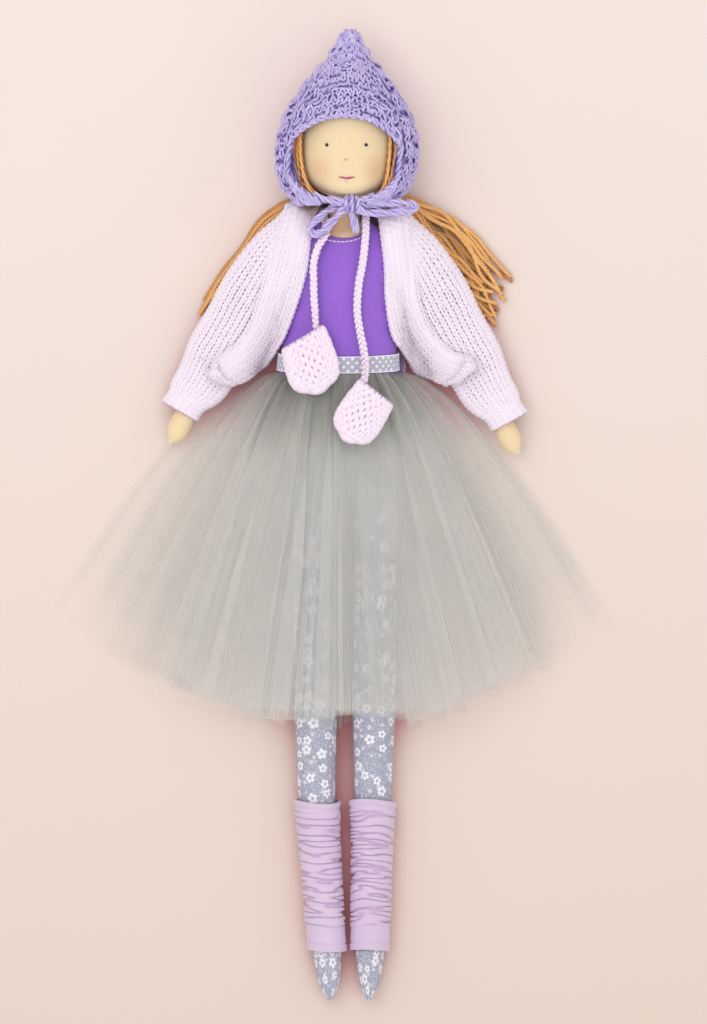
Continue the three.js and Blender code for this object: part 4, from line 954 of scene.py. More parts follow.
# %% Cardigan fronts
FRONT_REACH, FRONT_TOP, FRONT_COLLAR, FRONT_HEM = 75.0, 52.4, 9.5, 47.3
EDGES = {
    -1: [[0.19, 0], [0.28, 0.16], [0.31, 0.35], [0.39, 0.56], [0.49, 0.76], [0.605, 0.875], [0.76, 0.965], [0.88, 1]],
    1: [[0.24, 0], [0.29, 0.13], [0.32, 0.31], [0.33, 0.51], [0.37, 0.71], [0.455, 0.82], [0.59, 0.935], [0.8, 1]]}
FOLDS = {
    -1: [[0.41, 0.03], [0.485, 0.17], [0.545, 0.33], [0.605, 0.49], [0.68, 0.656], [0.785, 0.78], [0.92, 0.865],
         [1, 0.92]],
    1: [[0.45, 0.03], [0.47, 0.17], [0.5, 0.33], [0.525, 0.51], [0.59, 0.66], [0.7, 0.77], [0.82, 0.84],
        [0.96, 0.87]]}
EDGE_SHARE, EDGE_ROLL, EDGE_TURN = 0.17, 1.8, math.radians(150)
SIDE_SHARE, SIDE_ROLL, SIDE_TURN = 0.87, 1.9, math.radians(110)
HEM_SHARE, HEM_ROLL, HEM_TURN = 0.86, 2.7, math.radians(215)
CLOTH_EASE, CLOTH_LOW, CLOTH_SINK, CLOTH_FALL, FRONT_LIFT = 2.5, 3.0, 0.6, 2.5, 3.4
SEWN_SINK, FREE_PUFF, FREE_LIFT, OUTLINE_COUNT = 3.0, 1.4, 1.2, 90
FRONT_STITCHES, FRONT_ROWS = 11, 46


def height_over(middle, half_width, half_depth, distance):
    """Cloth over a rounded form: the form's ellipse, and a steep fall beside it."""
    part = np.clip(distance / half_width, 0, 1)
    return middle + half_depth * np.sqrt(1 - part**2) - CLOTH_FALL * np.maximum(0, distance - half_width)


def cloth_height(side, x, y, grow):
    """Height of cloth that lies on the chest, the sleeve or the table, whichever is highest. The soft change
    between them is ease log(sum of exp(height / ease))."""
    wide, deep, middle = torso_section(y, TOP_OUTSIDE + grow)
    chest = height_over(TORSO_Z, wide, deep, np.abs(x - middle))
    chest = chest * np.exp(-np.maximum(0, y - TORSO_ABOVE) ** 2 / (11 * TORSO_HALF_DEPTH))
    shoulder, way, ahead, reach = arm_line(side)
    from_x, from_y = x - shoulder[0], y - shoulder[1]
    share = np.clip((from_x * ahead[0] + from_y * ahead[1]) / reach, 0, 1)
    wide, deep = along(SLEEVE_SHARES, share, 0.03)
    beside = np.hypot(from_x - way[0] * share, from_y - way[1] * share)
    middle = shoulder[2] + way[2] * along(SLEEVE_DROP, share, 0.05)[0]
    sleeve = height_over(middle, wide * SLEEVE_HALF_WIDTH + grow, deep * SLEEVE_HALF_DEPTH + grow, beside)
    total = sum(np.exp(height / CLOTH_EASE) for height in (chest, sleeve, CLOTH_LOW + grow))
    return CLOTH_EASE * np.log(total) - CLOTH_SINK


def front_surface(side):
    """u goes from the free edge to the sleeve, v from the collar to the hem."""
    places = np.linspace(0, 1, OUTLINE_COUNT)
    whole_drop = FRONT_TOP + FRONT_HEM
    outlines = []
    for rows, lift in ((EDGES[side], 1.0), (FOLDS[side], 0.55)):
        outline = smooth_path([[side * reach * FRONT_REACH, FRONT_TOP - drop * whole_drop] for reach, drop in rows],
                              OUTLINE_COUNT)
        outline[:, 1] += FRONT_COLLAR * lift * np.exp(-(places / 0.07) ** 2)
        outlines.append(outline)

    def base(across, down):
        first, second = (follow(down, places, outline) for outline in outlines)
        flat = first + (second - first) * across[..., None]
        sewn = 1 - smoothstep(down, 0.32, 0.48)
        height = cloth_height(side, flat[..., 0], flat[..., 1], FRONT_LIFT)
        height = height - SEWN_SINK * sewn * smoothstep(across, 0.6, 1.0)
        height = height + (1 - sewn) * (FREE_PUFF * np.sin(np.pi * np.clip(across, 0, 1)) + FREE_LIFT)
        return np.concatenate([flat, height[..., None]], -1)

    def at(u, v):
        u, v = np.broadcast_arrays(u, v)
        across = (np.clip(u, EDGE_SHARE, SIDE_SHARE) - EDGE_SHARE) / (SIDE_SHARE - EDGE_SHARE)
        down = np.minimum(v, HEM_SHARE) / HEM_SHARE
        point, none, step = base(across, down), 0 * across, 0.01
        whole = none + 1
        to_edge = unit(base(none, down) - base(none + step, down))
        to_side = unit(base(whole, down) - base(whole - step, down))
        to_hem = unit(base(across, whole) - base(across, whole - step))
        edge_angle = EDGE_TURN * (EDGE_SHARE - np.minimum(u, EDGE_SHARE)) / EDGE_SHARE
        side_angle = SIDE_TURN * (np.maximum(u, SIDE_SHARE) - SIDE_SHARE) / (1 - SIDE_SHARE)
        hem_angle = HEM_TURN * (np.maximum(v, HEM_SHARE) - HEM_SHARE) / (1 - HEM_SHARE)
        corner = np.abs(2 * across - 1) ** 5
        roll = HEM_ROLL * (0.75 + 0.6 * smoothstep(across, 0.2, 0.9)) * (1 - 0.45 * corner)
        for way, shift in ((to_edge, EDGE_ROLL * np.sin(edge_angle)), (to_side, SIDE_ROLL * np.sin(side_angle)),
                           (to_hem, roll * np.sin(hem_angle) - 3.5 * corner * smoothstep(down, 0.7, 1.0))):
            point = point + way * shift[..., None]
        point[..., 2] += (roll * (1 - np.cos(hem_angle)) - EDGE_ROLL * (1 - np.cos(edge_angle))
                          - SIDE_ROLL * (1 - np.cos(side_angle)))
        return point
    return at


for side, word in SIDES.items():
    front_panel = garment(f"cardigan_front_{word}_knit", front_surface(side), FRONT_STITCHES, FRONT_ROWS, KNIT_YARN,
                          KNIT_RISE, False, cardigan_finish, None, "cardigan_yarn", layer=(0.3, 0.9),
                          rows=90, columns=44, flat=(0.1, HEM_SHARE), **STOCKING_STITCH,
                          shown=lambda v: 0.9 * smoothstep(v, HEM_SHARE, HEM_SHARE + 0.04))
    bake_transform(front_panel)
    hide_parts(f"cardigan_front_{word}")

# %% [markdown]
# The back of the cardigan is what the doll lies on. It is pressed flat, so its rows are level, and only its
# sides turn up round the body.

# %% Cardigan back
BACK_HALF_WIDTH, BACK_TOP, BACK_HEM, BACK_HEIGHT, BACK_RISE = 34.0, 50.0, 46.0, 1.25, 0.35
BACK_STITCHES, BACK_ROWS, BACK_LAYER = 22, 41, (-1.9, -1.2)
NAPE_DIP, CORNER_DROP, SIDE_FROM, SIDE_RISE = 4.0, 6.0, 0.8, 60.0


def back_surface(u, v):
    """A level panel. Its top edge dips at the nape, and its sides rise with the square of how far out they are."""
    across = 2 * u - 1
    top = BACK_TOP - NAPE_DIP * np.exp(-(across / 0.3) ** 2) - CORNER_DROP * smoothstep(np.abs(across), 0.75, 1.0)
    z = BACK_HEIGHT + SIDE_RISE * np.maximum(0, np.abs(across) - SIDE_FROM) ** 2
    return np.stack([BACK_HALF_WIDTH * across, top - v * (top + BACK_HEM), z], -1)


back_panel = garment("cardigan_back_knit", back_surface, BACK_STITCHES, BACK_ROWS, KNIT_YARN, BACK_RISE, False,
                     cardigan_finish, "torso", "cardigan_yarn", layer=BACK_LAYER, rows=30, columns=30)
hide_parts("cardigan_back")

# %% [markdown]
# The bonnet is knitted of a thicker yarn that was dyed unevenly. Its maker mixed knit and purl freely, so
# there are no clean columns: some yarn stands in V shapes and some lies across as small bars, with gaps
# between that are dark partly with real shade and partly with painted shade on the layer beneath. It narrows
# to a blunt peak, its rim lies close to the forehead, and a small part of it goes on below the face opening
# on each side.

# %% Bonnet
BONNET_BASE, BONNET_LENGTH, BONNET_PEAK_X, BONNET_INSET = 53.0, 97.6, 3.0, -2.0
BONNET_HALF_WIDTH, BONNET_HALF_DEPTH, BONNET_Z, BONNET_LOW = 41.0, 33.5, 33.0, 1.4
BONNET_SHARES = [
    [0, 0.66, 0.76], [0.08, 0.87, 0.92], [0.17, 0.975, 1], [0.26, 1, 1], [0.37, 1, 1], [0.52, 0.895, 0.95],
    [0.64, 0.725, 0.82], [0.74, 0.546, 0.64], [0.845, 0.32, 0.36], [0.92, 0.22, 0.23], [0.965, 0.16, 0.17],
    [0.99, 0.08, 0.08], [1, 0.02, 0.02]]
WINDOW_X, WINDOW_Y, WINDOW_HALF_WIDTH, WINDOW_HALF_HEIGHT, SLOT_HALF_WIDTH = -0.6, 77.5, 33.8, 24.6, 14.0
BONNET_YARN, BONNET_RISE, BONNET_ROUND, BONNET_ROUNDS = 1.55, 1.0, 44, 22
CHEEK_STITCHES, CHEEK_ROWS, CHEEK_CLOSENESS, PURL_SEED = 7, 3, 0.8, 11
FACE_GAP_SIDE, FACE_GAP_FRONT, FACE_PULL = 9.0, 4.0, 0.7
BONNET_STITCH = dict(layer=(0.0, 1.0), per_stitch=12, around=7, lean=0.26, jitter=0.13)


def bonnet_point(angle, share, grow=0.0):
    """Sections of the bonnet, flattened where they would go below the table."""
    wide, deep = along(BONNET_SHARES, share, 0.02)
    grow = grow * np.minimum(1, 4 * wide)
    point = ellipse(BONNET_PEAK_X * share, BONNET_BASE + share * BONNET_LENGTH, BONNET_Z,
                    wide * BONNET_HALF_WIDTH + grow, deep * BONNET_HALF_DEPTH + grow, angle)
    point[..., 2] = np.maximum(point[..., 2], BONNET_LOW + 0.04 * (point[..., 2] - BONNET_LOW))
    return point


def window_edges():
    """For each angle round the bonnet, the shares at which its face opening ends above and begins below."""
    share, angle = np.linspace(0, 0.62, 300), np.linspace(0, TURN, 721)
    x, y, z = np.moveaxis(bonnet_point(*np.meshgrid(angle, share, indexing="ij")), -1, 0)
    x, y = x - WINDOW_X, y - WINDOW_Y
    inside = (x / WINDOW_HALF_WIDTH) ** 2 + (y / WINDOW_HALF_HEIGHT) ** 2 < 1
    is_open = (inside | (np.abs(x) < SLOT_HALF_WIDTH) & (y < 0)) & (z > BONNET_Z + 5)
    above = np.where(is_open.any(1), share[len(share) - 1 - is_open[:, ::-1].argmax(1)], 0.0)
    below = np.where(is_open.any(1), share[is_open.argmax(1)], 0.0)
    return angle, above, below


window_angle, window_above, window_below = window_edges()
open_angles = window_angle[window_above > 0]


def near_face(point, closeness):
    """Pulls the bonnet in to the forehead and the cheeks where closeness is 1."""
    share = (point[..., 1] - HEAD_BASE) / HEAD_LENGTH
    wide, deep, _ = along(HEAD_SHARES, np.clip(share, 0.0, 1.0), 0.05)
    across = np.clip((point[..., 0] - HEAD_X) / (wide * HEAD_HALF_WIDTH + FACE_GAP_SIDE), -0.98, 0.98)
    skin = HEAD_Z + (deep * HEAD_HALF_DEPTH + FACE_GAP_FRONT) * np.sqrt(1 - across**2)
    excess = np.maximum(0, point[..., 2] - skin) * smoothstep(point[..., 2], BONNET_Z, BONNET_Z + 8)
    point[..., 2] -= FACE_PULL * excess * closeness * (1 - 0.85 * smoothstep(np.abs(across), 0.5, 0.85))
    return point


def bonnet_surface(u, v):
    """u goes round, v from the rim to the peak; the rim follows the face opening."""
    edge = np.interp(TURN * u % TURN, window_angle, window_above)
    lumps = (0.45 + 0.5 * v) * np.sin(TURN * 10.5 * v) + 0.45 * np.sin(TURN * 11 * u + 5 * v) * (1 - v)
    point = bonnet_point(TURN * u, edge + v * (0.997 - edge), BONNET_INSET + lumps)
    return near_face(point, np.exp(-(v / 0.16) ** 2) * (edge > 0.02))


def cheek_surface(side):
    """The small part of the bonnet under the opening on one side: v from the hem up to the rim."""
    slot = open_angles[window_below[window_above > 0] <= 0.002]
    start, end = (open_angles[0], slot.min()) if side > 0 else (open_angles[-1], slot.max())

    def at(u, v):
        angle = start + (end - start) * u
        upper = np.maximum(np.interp(angle, window_angle, window_below), 0.012)
        return near_face(bonnet_point(angle, upper * v, BONNET_INSET), CHEEK_CLOSENESS)
    return at


def mixed_stitches(stitch, row):
    """+1 for knit and -1 for purl. Purl stitches are sprinkled in, more of them higher up, and the height
    passes through 0 between two stitches that differ."""
    own = np.random.default_rng(PURL_SEED)
    chance = np.interp(np.arange(BONNET_ROUNDS), [0, 4, BONNET_ROUNDS - 1], [0.1, 0.3, 0.5])
    signs = np.where(own.random((BONNET_ROUNDS, BONNET_ROUND)) < chance[:, None], -1.0, 1.0)
    near = np.floor(stitch + 0.5).astype(int)
    beside = np.where(stitch > near, near + 1, near - 1)
    edge = smoothstep(np.abs(stitch - near), 0.3, 0.5)
    sign, next_sign = (signs[row, place % BONNET_ROUND] for place in (near, beside))
    return sign * (1 - 0.5 * edge) + 0.5 * edge * next_sign


bonnet = garment("bonnet_knit", bonnet_surface, BONNET_ROUND, BONNET_ROUNDS, BONNET_YARN, BONNET_RISE, True,
                 bonnet_finish, "torso", "bonnet_yarn", rows=70, columns=110, purl=mixed_stitches, sink=0.9,
                 **BONNET_STITCH)
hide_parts("bonnet")
for side, word in SIDES.items():
    cheek = garment(f"bonnet_cheek_{word}_knit", cheek_surface(side), CHEEK_STITCHES, CHEEK_ROWS, BONNET_YARN,
                    BONNET_RISE, False, bonnet_finish, "torso", "bonnet_yarn", rows=12, columns=30, sink=0.75,
                    **BONNET_STITCH)
    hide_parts("bonnet")

# %% [markdown]
# The rim is two strands of the same yarn, twisted loosely, that run round the face opening from one tie over
# the forehead to the other.

# %% Bonnet rim
RIM_DIAMETER, RIM_TWIST, RIM_PLY_PITCH, RIM_COUNT, CHEEK_COUNT = 3.0, 9.0, 11.0, 420, 26
RIM_RADIUS, RIM_STRAND = 0.24 * RIM_DIAMETER, 0.6 * RIM_DIAMETER
upper_rim = bonnet_surface(np.linspace(open_angles[0], open_angles[-1], 160) / TURN, np.full(160, 0.004))
right_rim = cheek_surface(1)(np.linspace(1, 0.05, CHEEK_COUNT), np.ones(CHEEK_COUNT))
left_rim = cheek_surface(-1)(np.linspace(0.05, 1, CHEEK_COUNT), np.ones(CHEEK_COUNT))
rim_path = smooth_path(np.concatenate([right_rim[::3], upper_rim[6:-6:6], left_rim[::3]]), RIM_COUNT)
rim_out = unit((rim_path - [HEAD_X, 0, HEAD_Z]) * [1, 0, 1])
rim_side = unit(np.cross(rim_out, direction(rim_path)))
rim_phase = (TURN * (path_length(rim_path) / RIM_TWIST + np.arange(2)[:, None] / 2))[..., None]
rim_lines = rim_path + RIM_RADIUS * (np.cos(rim_phase) * rim_side + np.sin(rim_phase) * rim_out)
# Painted shade: each strand darkens where it turns under the other.
rim = yarn_piece("bonnet_rim", rim_lines, RIM_STRAND, RIM_PLY_PITCH, rim_out, bonnet_finish, "bonnet_yarn",
                 0.55 + 0.45 * np.sin(rim_phase), around=9)
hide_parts("bonnet")

# %% [markdown]
# The mittens are crocheted: short tight stitches whose rows sit half a stitch apart, with small holes between.
# Each is a flat pouch, narrower at the wrist, that hangs on its cord by one corner, so its wrist slants.

# %% Mittens
MITTEN_LENGTH, MITTEN_HALF_DEPTH, MITTEN_INSET, MITTEN_RISE = 32.0, 4.8, 1.1, 0.6
MITTEN_HALF_WIDTHS = {-1: 14.6, 1: 13.2}
MITTEN_STITCHES, MITTEN_ROUNDS, MITTEN_YARN_SHARE = 16, 11, 0.205
MITTEN_SHARES = [[0, 0.88], [0.3, 0.97], [0.6, 1], [0.82, 0.88], [0.94, 0.62], [1, 0.2]]
MITTEN_PLACES = {-1: (-23.2, -22.0, 55.0, 17.0, 3.0), 1: (17.2, -52.4, 55.0, -33.0, -1.0)}
CROCHET = dict(lean=0.23, reach=0.78, per_stitch=10, around=6, stagger=0.5, jitter=0.07, sink=0.35)


def mitten_surface(side):
    """A pouch turned about its wrist's middle: u goes once round, v from the wrist to the tip."""
    x, y, z, turned, slant = MITTEN_PLACES[side]
    cos_turn, sin_turn = math.cos(math.radians(turned)), math.sin(math.radians(turned))

    def at(u, v):
        size = along(MITTEN_SHARES, v, 0.05)[0] * np.sqrt(np.clip(1 - smoothstep(v, 0.72, 1.0) ** 2 * 0.92, 0, 1))
        cos_u, sin_u = np.cos(TURN * u), np.sin(TURN * u)
        flat_x = size * (MITTEN_HALF_WIDTHS[side] - MITTEN_INSET) * cos_u
        flat_y = -v * (MITTEN_LENGTH - 1) + slant * (1 - v) * cos_u
        height = z + size**0.5 * (MITTEN_HALF_DEPTH - 0.9) * sin_u
        return np.stack([x + cos_turn * flat_x - sin_turn * flat_y, y + sin_turn * flat_x + cos_turn * flat_y,
                         height], -1)
    return at


for side, word in SIDES.items():
    mitten = garment(f"mitten_{word}_crochet", mitten_surface(side), MITTEN_STITCHES, MITTEN_ROUNDS,
                     MITTEN_YARN_SHARE * MITTEN_HALF_WIDTHS[side], MITTEN_RISE, True, mitten_finish,
                     f"mitten_{word}", "mitten_yarn", layer=(0.0, 0.6), rows=24, columns=48, **CROCHET)
    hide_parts(f"mitten_{word}")

# %% [markdown]
# The hair is thick plied yarn. Strands are sewn round the head, side by side, and each side's hang out of the
# bonnet as a bunch that lies on the table beside the shoulder, partly under the sleeve. A few sit deeper and
# lower, at the cheeks.

# %% Hair round the head
HAIR_DIAMETER, CROWN_TWIST = 2.5, 4.4
CROWN_FROM, CROWN_TO = math.radians(42), math.radians(-216)
CROWN_STRANDS, UNDER_STRANDS = 56, 7
UNDER_RIGHT, UNDER_LEFT = (0.62, 0.05), (0.52, 0.05)
UNDER_OUT, CROWN_OUT, CROWN_STEP, NARROWER_BELOW, FLATTER_BELOW = 6.2, 3.6, 0.7, 0.28, 0.22
crown_angle = np.concatenate([np.linspace(CROWN_FROM, CROWN_TO, CROWN_STRANDS),
                              np.linspace(*UNDER_RIGHT, UNDER_STRANDS),
                              np.pi - np.linspace(*UNDER_LEFT, UNDER_STRANDS)])[:, None]
crown_share = np.linspace(0.97, -0.03, 60)
strand = np.arange(len(crown_angle))[:, None]
is_under = strand >= CROWN_STRANDS
wide, deep, _ = along(HEAD_SHARES, np.maximum(crown_share, 0.03), 0.03)
below = smoothstep(crown_share, 0.08, -0.12)
grow = np.where(is_under, UNDER_OUT, CROWN_OUT + CROWN_STEP * (strand % 2))
crown_paths = ellipse(HEAD_X, HEAD_BASE + crown_share * HEAD_LENGTH, HEAD_Z,
                      wide * (1 - NARROWER_BELOW * below) * HEAD_HALF_WIDTH + grow,
                      deep * (1 - FLATTER_BELOW * below) * HEAD_HALF_DEPTH + 0.5 * grow,
                      crown_angle + 0.035 * np.sin(5 * crown_share + strand * 1.7))
crown_facing = unit((crown_paths - [HEAD_X, 0, HEAD_Z]) * [1, 0, 1])
# Painted shade: the strands at the cheeks, under the others, take the deep tone.
hair_crown = yarn_piece("hair_round_the_head", crown_paths, HAIR_DIAMETER, CROWN_TWIST, crown_facing,
                        hair_finish, "hair_yarn", np.where(is_under, 0.12, 0.75)[..., None], depth=0.3, shade=1.2)
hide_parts("hair_crown")

# %% [markdown]
# The strands of a bunch run between its upper and its lower outline. They come out of the bonnet one over
# another, fan out, cross a little, and end at different places.

# %% Hair bunches
BUNCH_WAVE, BUNCH_RIPPLE, BUNCH_SCATTER, BUNCH_LOW = 0.13, 0.025, 0.5, HAIR_DIAMETER / 2 + 0.2


def bunch(name, upper, lower, count, seed, heights, replaced, stop):
    """Strands between two outlines. heights says how high they are piled, and stop gives the shortest and the
    longest share of the way they reach."""
    own = np.random.default_rng(seed)
    q = (np.arange(count) + own.uniform(0.2, 0.8, count)) / count
    order = own.permutation(count)[:, None] / (count - 1)
    share = np.linspace(0, 1, 110) * own.uniform(*stop, count)[:, None]
    rate, start = own.uniform(3.5, 8.5, (count, 1)), own.uniform(0, 6, (count, 1))
    across = q[:, None] + BUNCH_WAVE * np.sin(rate * share + start)
    across = across + BUNCH_RIPPLE * np.sin(3.1 * rate * share + 2 * start)
    first, second = (follow(share, np.linspace(0, 1, 80), smooth_path(outline, 80)) for outline in (upper, lower))
    flat = first + (second - first) * across[..., None]
    flat = flat + own.normal(0, BUNCH_SCATTER, (count, 1, 2)) * smoothstep(share, 0.3, 1.0)[..., None]
    height = BUNCH_LOW + order * np.interp(share, *zip(*heights))
    # Painted shade: the lower a strand lies in the pile, the more of the deep tone it takes.
    made = yarn_piece(name, np.concatenate([flat, height[..., None]], -1), HAIR_DIAMETER, own.uniform(3.9, 4.7), UP,
                      hair_finish, "hair_yarn", 0.05 + 0.85 * order[..., None], depth=0.3, shade=1.4)
    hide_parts(replaced)


bunch("hair_hanging_right", [[24, 58], [38.6, 59], [55.4, 47.5], [70, 33], [78.7, 23], [94, 9]],
      [[22, 49], [33, 40], [42, 25], [52, 5], [63, -11], [80, -30]], 38, 3,
      [(0, 10), (0.25, 9), (0.6, 6), (1, 4.5)], "hair_bunch_right", (0.8, 1.0))
bunch("hair_hanging_left", [[-24, 58], [-37, 55], [-49, 47], [-59.5, 32.5], [-72, 12], [-82, -6]],
      [[-22, 50], [-32, 46], [-43, 38], [-53, 22], [-66, 3], [-80, -13]], 8, 5,
      [(0, 9), (0.25, 7), (0.6, 4), (1, 2.5)], "hair_bunch_left", (0.84, 1.02))

# %% [markdown]
# The skirt is net: hexagonal holes about a millimetre across. Folds of it lie over each other, and each more
# layer hides more of what is behind, so the pleats show as pale rays. The net is gathered at the waist, where
# many folds are packed together and little can be seen through it.

# %% Net finish
NET_CELL, NET_THREAD, NET_HAZE = 1.15, 0.27, 0.02
net_finish = Finish("net", Roughness=0.75)
net_x, net_y, _ = net_finish.parts(net_finish.uv())
slanted, upright = net_x * 0.5, net_y * (math.sqrt(3) / 2)
wave_1, wave_2, wave_3 = ((way * (TURN / NET_CELL)).do("COSINE")
                          for way in (net_x, slanted + upright, slanted - upright))
net_cover = net_finish.range(wave_1 + wave_2 + wave_3, 0.5, -0.4) * NET_THREAD + NET_HAZE
net_finish.set(Base_Color=net_finish.mix(net_finish.noise(net_finish.place(), 60.0), "#d4d7d4", "#e6e4df"),
               Alpha=1 - (1 - net_cover).do("POWER", net_finish.attribute("dense") + 1.0))
bpy.context.scene.cycles.transparent_max_bounces = 64

# %% [markdown]
# A layer is a fan. Its folds are steep places in the map from the net to the fan: for a fold at c with the
# width w and the amount a, the net's place u moves by -a w t exp(-t^2), with t = (u - c) / w. Where a is over
# 1 the net runs back over itself, and its height follows t exp(-t^2 / 3), so the fold has an under and an
# upper side. The gathers at the waist are small waves that die out within the first third.

# %% Skirt layers
FAN_ANGLE = math.radians(48)
SKIRT_MIDDLE_LENGTH, SKIRT_SIDE_LENGTH, SIDE_BULGE = 201.0, 209.0, 20.0
WAIST_HALF_WIDTH, WAIST_Y, WAIST_X, WAIST_RISE, HEM_CENTRE = 34.5, -42.0, -4.0, 2.3, 12.0
GATHERS, GATHER_HEIGHT, GATHER_REACH, FOLD_HEIGHT = 70, 0.9, 0.22, 1.3
HEM_SAG, HEM_POINTS, SIDE_LONGER, FLOOR_HEIGHT = 0.014, 0.045, 0.02, 0.9


def skirt_place(across, down, length):
    """x and y on the fan: a straight ray from the waist to the hem, bowed out to the side."""
    angle = FAN_ANGLE * across
    reach = (SKIRT_MIDDLE_LENGTH + (SKIRT_SIDE_LENGTH - SKIRT_MIDDLE_LENGTH) * across**2) * length
    waist = np.stack([WAIST_X + WAIST_HALF_WIDTH * np.sin(np.clip(across, -1, 1) * np.pi / 2),
                      WAIST_Y + WAIST_RISE * across**2], -1)
    hem = np.stack([WAIST_X + reach * np.sin(angle), WAIST_Y + HEM_CENTRE - reach * np.cos(angle)], -1)
    bulge = SIDE_BULGE * across**2 * np.sin(np.pi * down**0.6)
    bow = np.stack([np.sign(across) * bulge * math.cos(FAN_ANGLE), bulge / 2], -1)
    return waist + (hem - waist) * down[..., None] + bow


def net_layer(name, seed, first, last, folds, low, crests, body, length=1.0, wide=560, tall=26, lift=1.0):
    """One layer between two places across the fan, arched over the legs. low is the height of its sides and
    crests are its middle's heights at the waist and at the hem. dense is how many more layers it counts for."""
    own = np.random.default_rng(seed)
    u, v = np.linspace(0, 1, wide)[:, None], np.linspace(0, 1, tall)[None]
    down = v * np.ones_like(u)
    centres = (np.arange(folds) + own.uniform(0.1, 0.9, folds)) / folds
    widths = own.uniform(0.2, 0.8, folds) / folds
    amounts, onsets = own.uniform(0.9, 2.6, folds), own.uniform(-0.5, 0.2, folds)
    ways = own.choice([-1.0, 1.0], folds)
    t = (u - centres) / widths
    opening = smoothstep(v[..., None], onsets, onsets + 0.5)
    shift = (-(amounts * widths * t * np.exp(-t**2))[:, None, :] * opening).sum(-1)
    rise = ((ways * 1.9 * t * np.exp(-t**2 / 3))[:, None, :] * opening).sum(-1)
    drift = 0.012 * np.sin(TURN * (3 * u + own.uniform())) * v
    across = first + (last - first) * (u + shift + drift)
    gathers = np.sin(TURN * (GATHERS * u + 2.2 * np.sin(9 * u + seed)))
    sag = np.interp(u, np.linspace(0, 1, folds * 2), own.uniform(-1, 1, folds * 2))
    points_down = (own.uniform(0.0, HEM_POINTS, folds) * np.exp(-np.abs(t) * 0.9)).sum(-1, keepdims=True)
    from_middle = np.abs(across)
    uneven = length * (1 + HEM_SAG * sag + points_down) + SIDE_LONGER * np.maximum(0, from_middle - 0.85) / 0.15
    arch = np.clip(1 - across**2, 0, 1) ** (0.5 + 0.5 * np.minimum(1, 3 * down))
    height = low + (crests[0] + (crests[1] - crests[0]) * v**2 - low) * arch
    height = height + lift * (FOLD_HEIGHT * rise * smoothstep(v, 0.02, 0.4)
                              + GATHER_HEIGHT * gathers * np.exp(-(v / GATHER_REACH) ** 2))
    height = np.maximum(height, FLOOR_HEIGHT + 0.25 * np.arctan(height))
    points = np.concatenate([skirt_place(across, down, uneven), height[..., None]], -1)
    normal = unit(np.cross(np.gradient(points, axis=0), np.gradient(points, axis=1)))
    tilt = 1 / np.maximum(np.abs(normal[..., 2]), 0.3) - 1
    dense = 0.8 * np.clip(tilt, 0, 2) + 1.5 * lift * np.exp(-(down / 0.34) ** 2 - (across / 0.6) ** 2)
    dense = dense - 0.5 * smoothstep(from_middle, 0.45, 0.9)
    dense = dense - 0.45 * smoothstep(down, 0.7, 1.0) * smoothstep(from_middle, 0.22, 0.5)
    hem, ray = path_length(points[:, -1])[-1], path_length(points[wide // 2])[-1]
    uv = np.stack(np.broadcast_arrays(u * hem, v * ray), -1)
    made = piece(name, points, grid_faces(wide, tall), net_finish, body, "tulle", uv, closed=False, dense=dense)
    return made


BACK_NETS = [(1.03, 1.0, 13), (0.96, 0.985, 15), (0.84, 1.01, 12)]
FRONT_NETS = [(0.9, 0.995, 7), (0.78, 0.975, 8), (0.68, 1.005, 7), (0.58, 0.985, 8)]
for layer, (reach, length, folds) in enumerate(BACK_NETS):
    net = net_layer(f"net_back_{layer + 1}", 20 + layer, -reach, reach, folds, 1.3 + 1.3 * layer,
                    (6.0 + 2.5 * layer, 2.0 + 2.2 * layer), "torso", length, lift=0.45)
    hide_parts("tulle_back")
for side, word in SIDES.items():
    for layer, (reach, length, folds) in enumerate(FRONT_NETS):
        inner = -side * (0.01 + 0.02 * ((layer * 3) % 4))
        net = net_layer(f"net_front_{word}_{layer + 1}", 50 + 10 * layer + side, inner, side * (reach + 0.03 * side),
                        folds, 4.6 + 0.8 * layer, (38.0 + 3.2 * layer, 28.0 + 4.4 * layer), None, length)
        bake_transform(net)
        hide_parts(f"tulle_front_{word}")

# %% [markdown]
# The legs are sewn of a grey-blue cotton printed with small white daisies. The print is laid out in
# millimetres of cloth: each cell of an irregular pattern holds one flower, whose five petals come from the
# angle round its middle. Two finer patterns add small buds and dots between them.

# %% Printed cotton
PETAL_OUT, PETAL_RADIUS, HEART_RADIUS, PLACE_JITTER = 0.6, 0.35, 0.17, 0.72
FLOWERS = {"daisy": (8.0, 3.1, 5.0, 0.8, 0.0), "bud": (5.3, 1.15, 4.0, 0.55, 1.0), "dot": (2.9, 0.42, 1.0, 0.6, 2.0)}


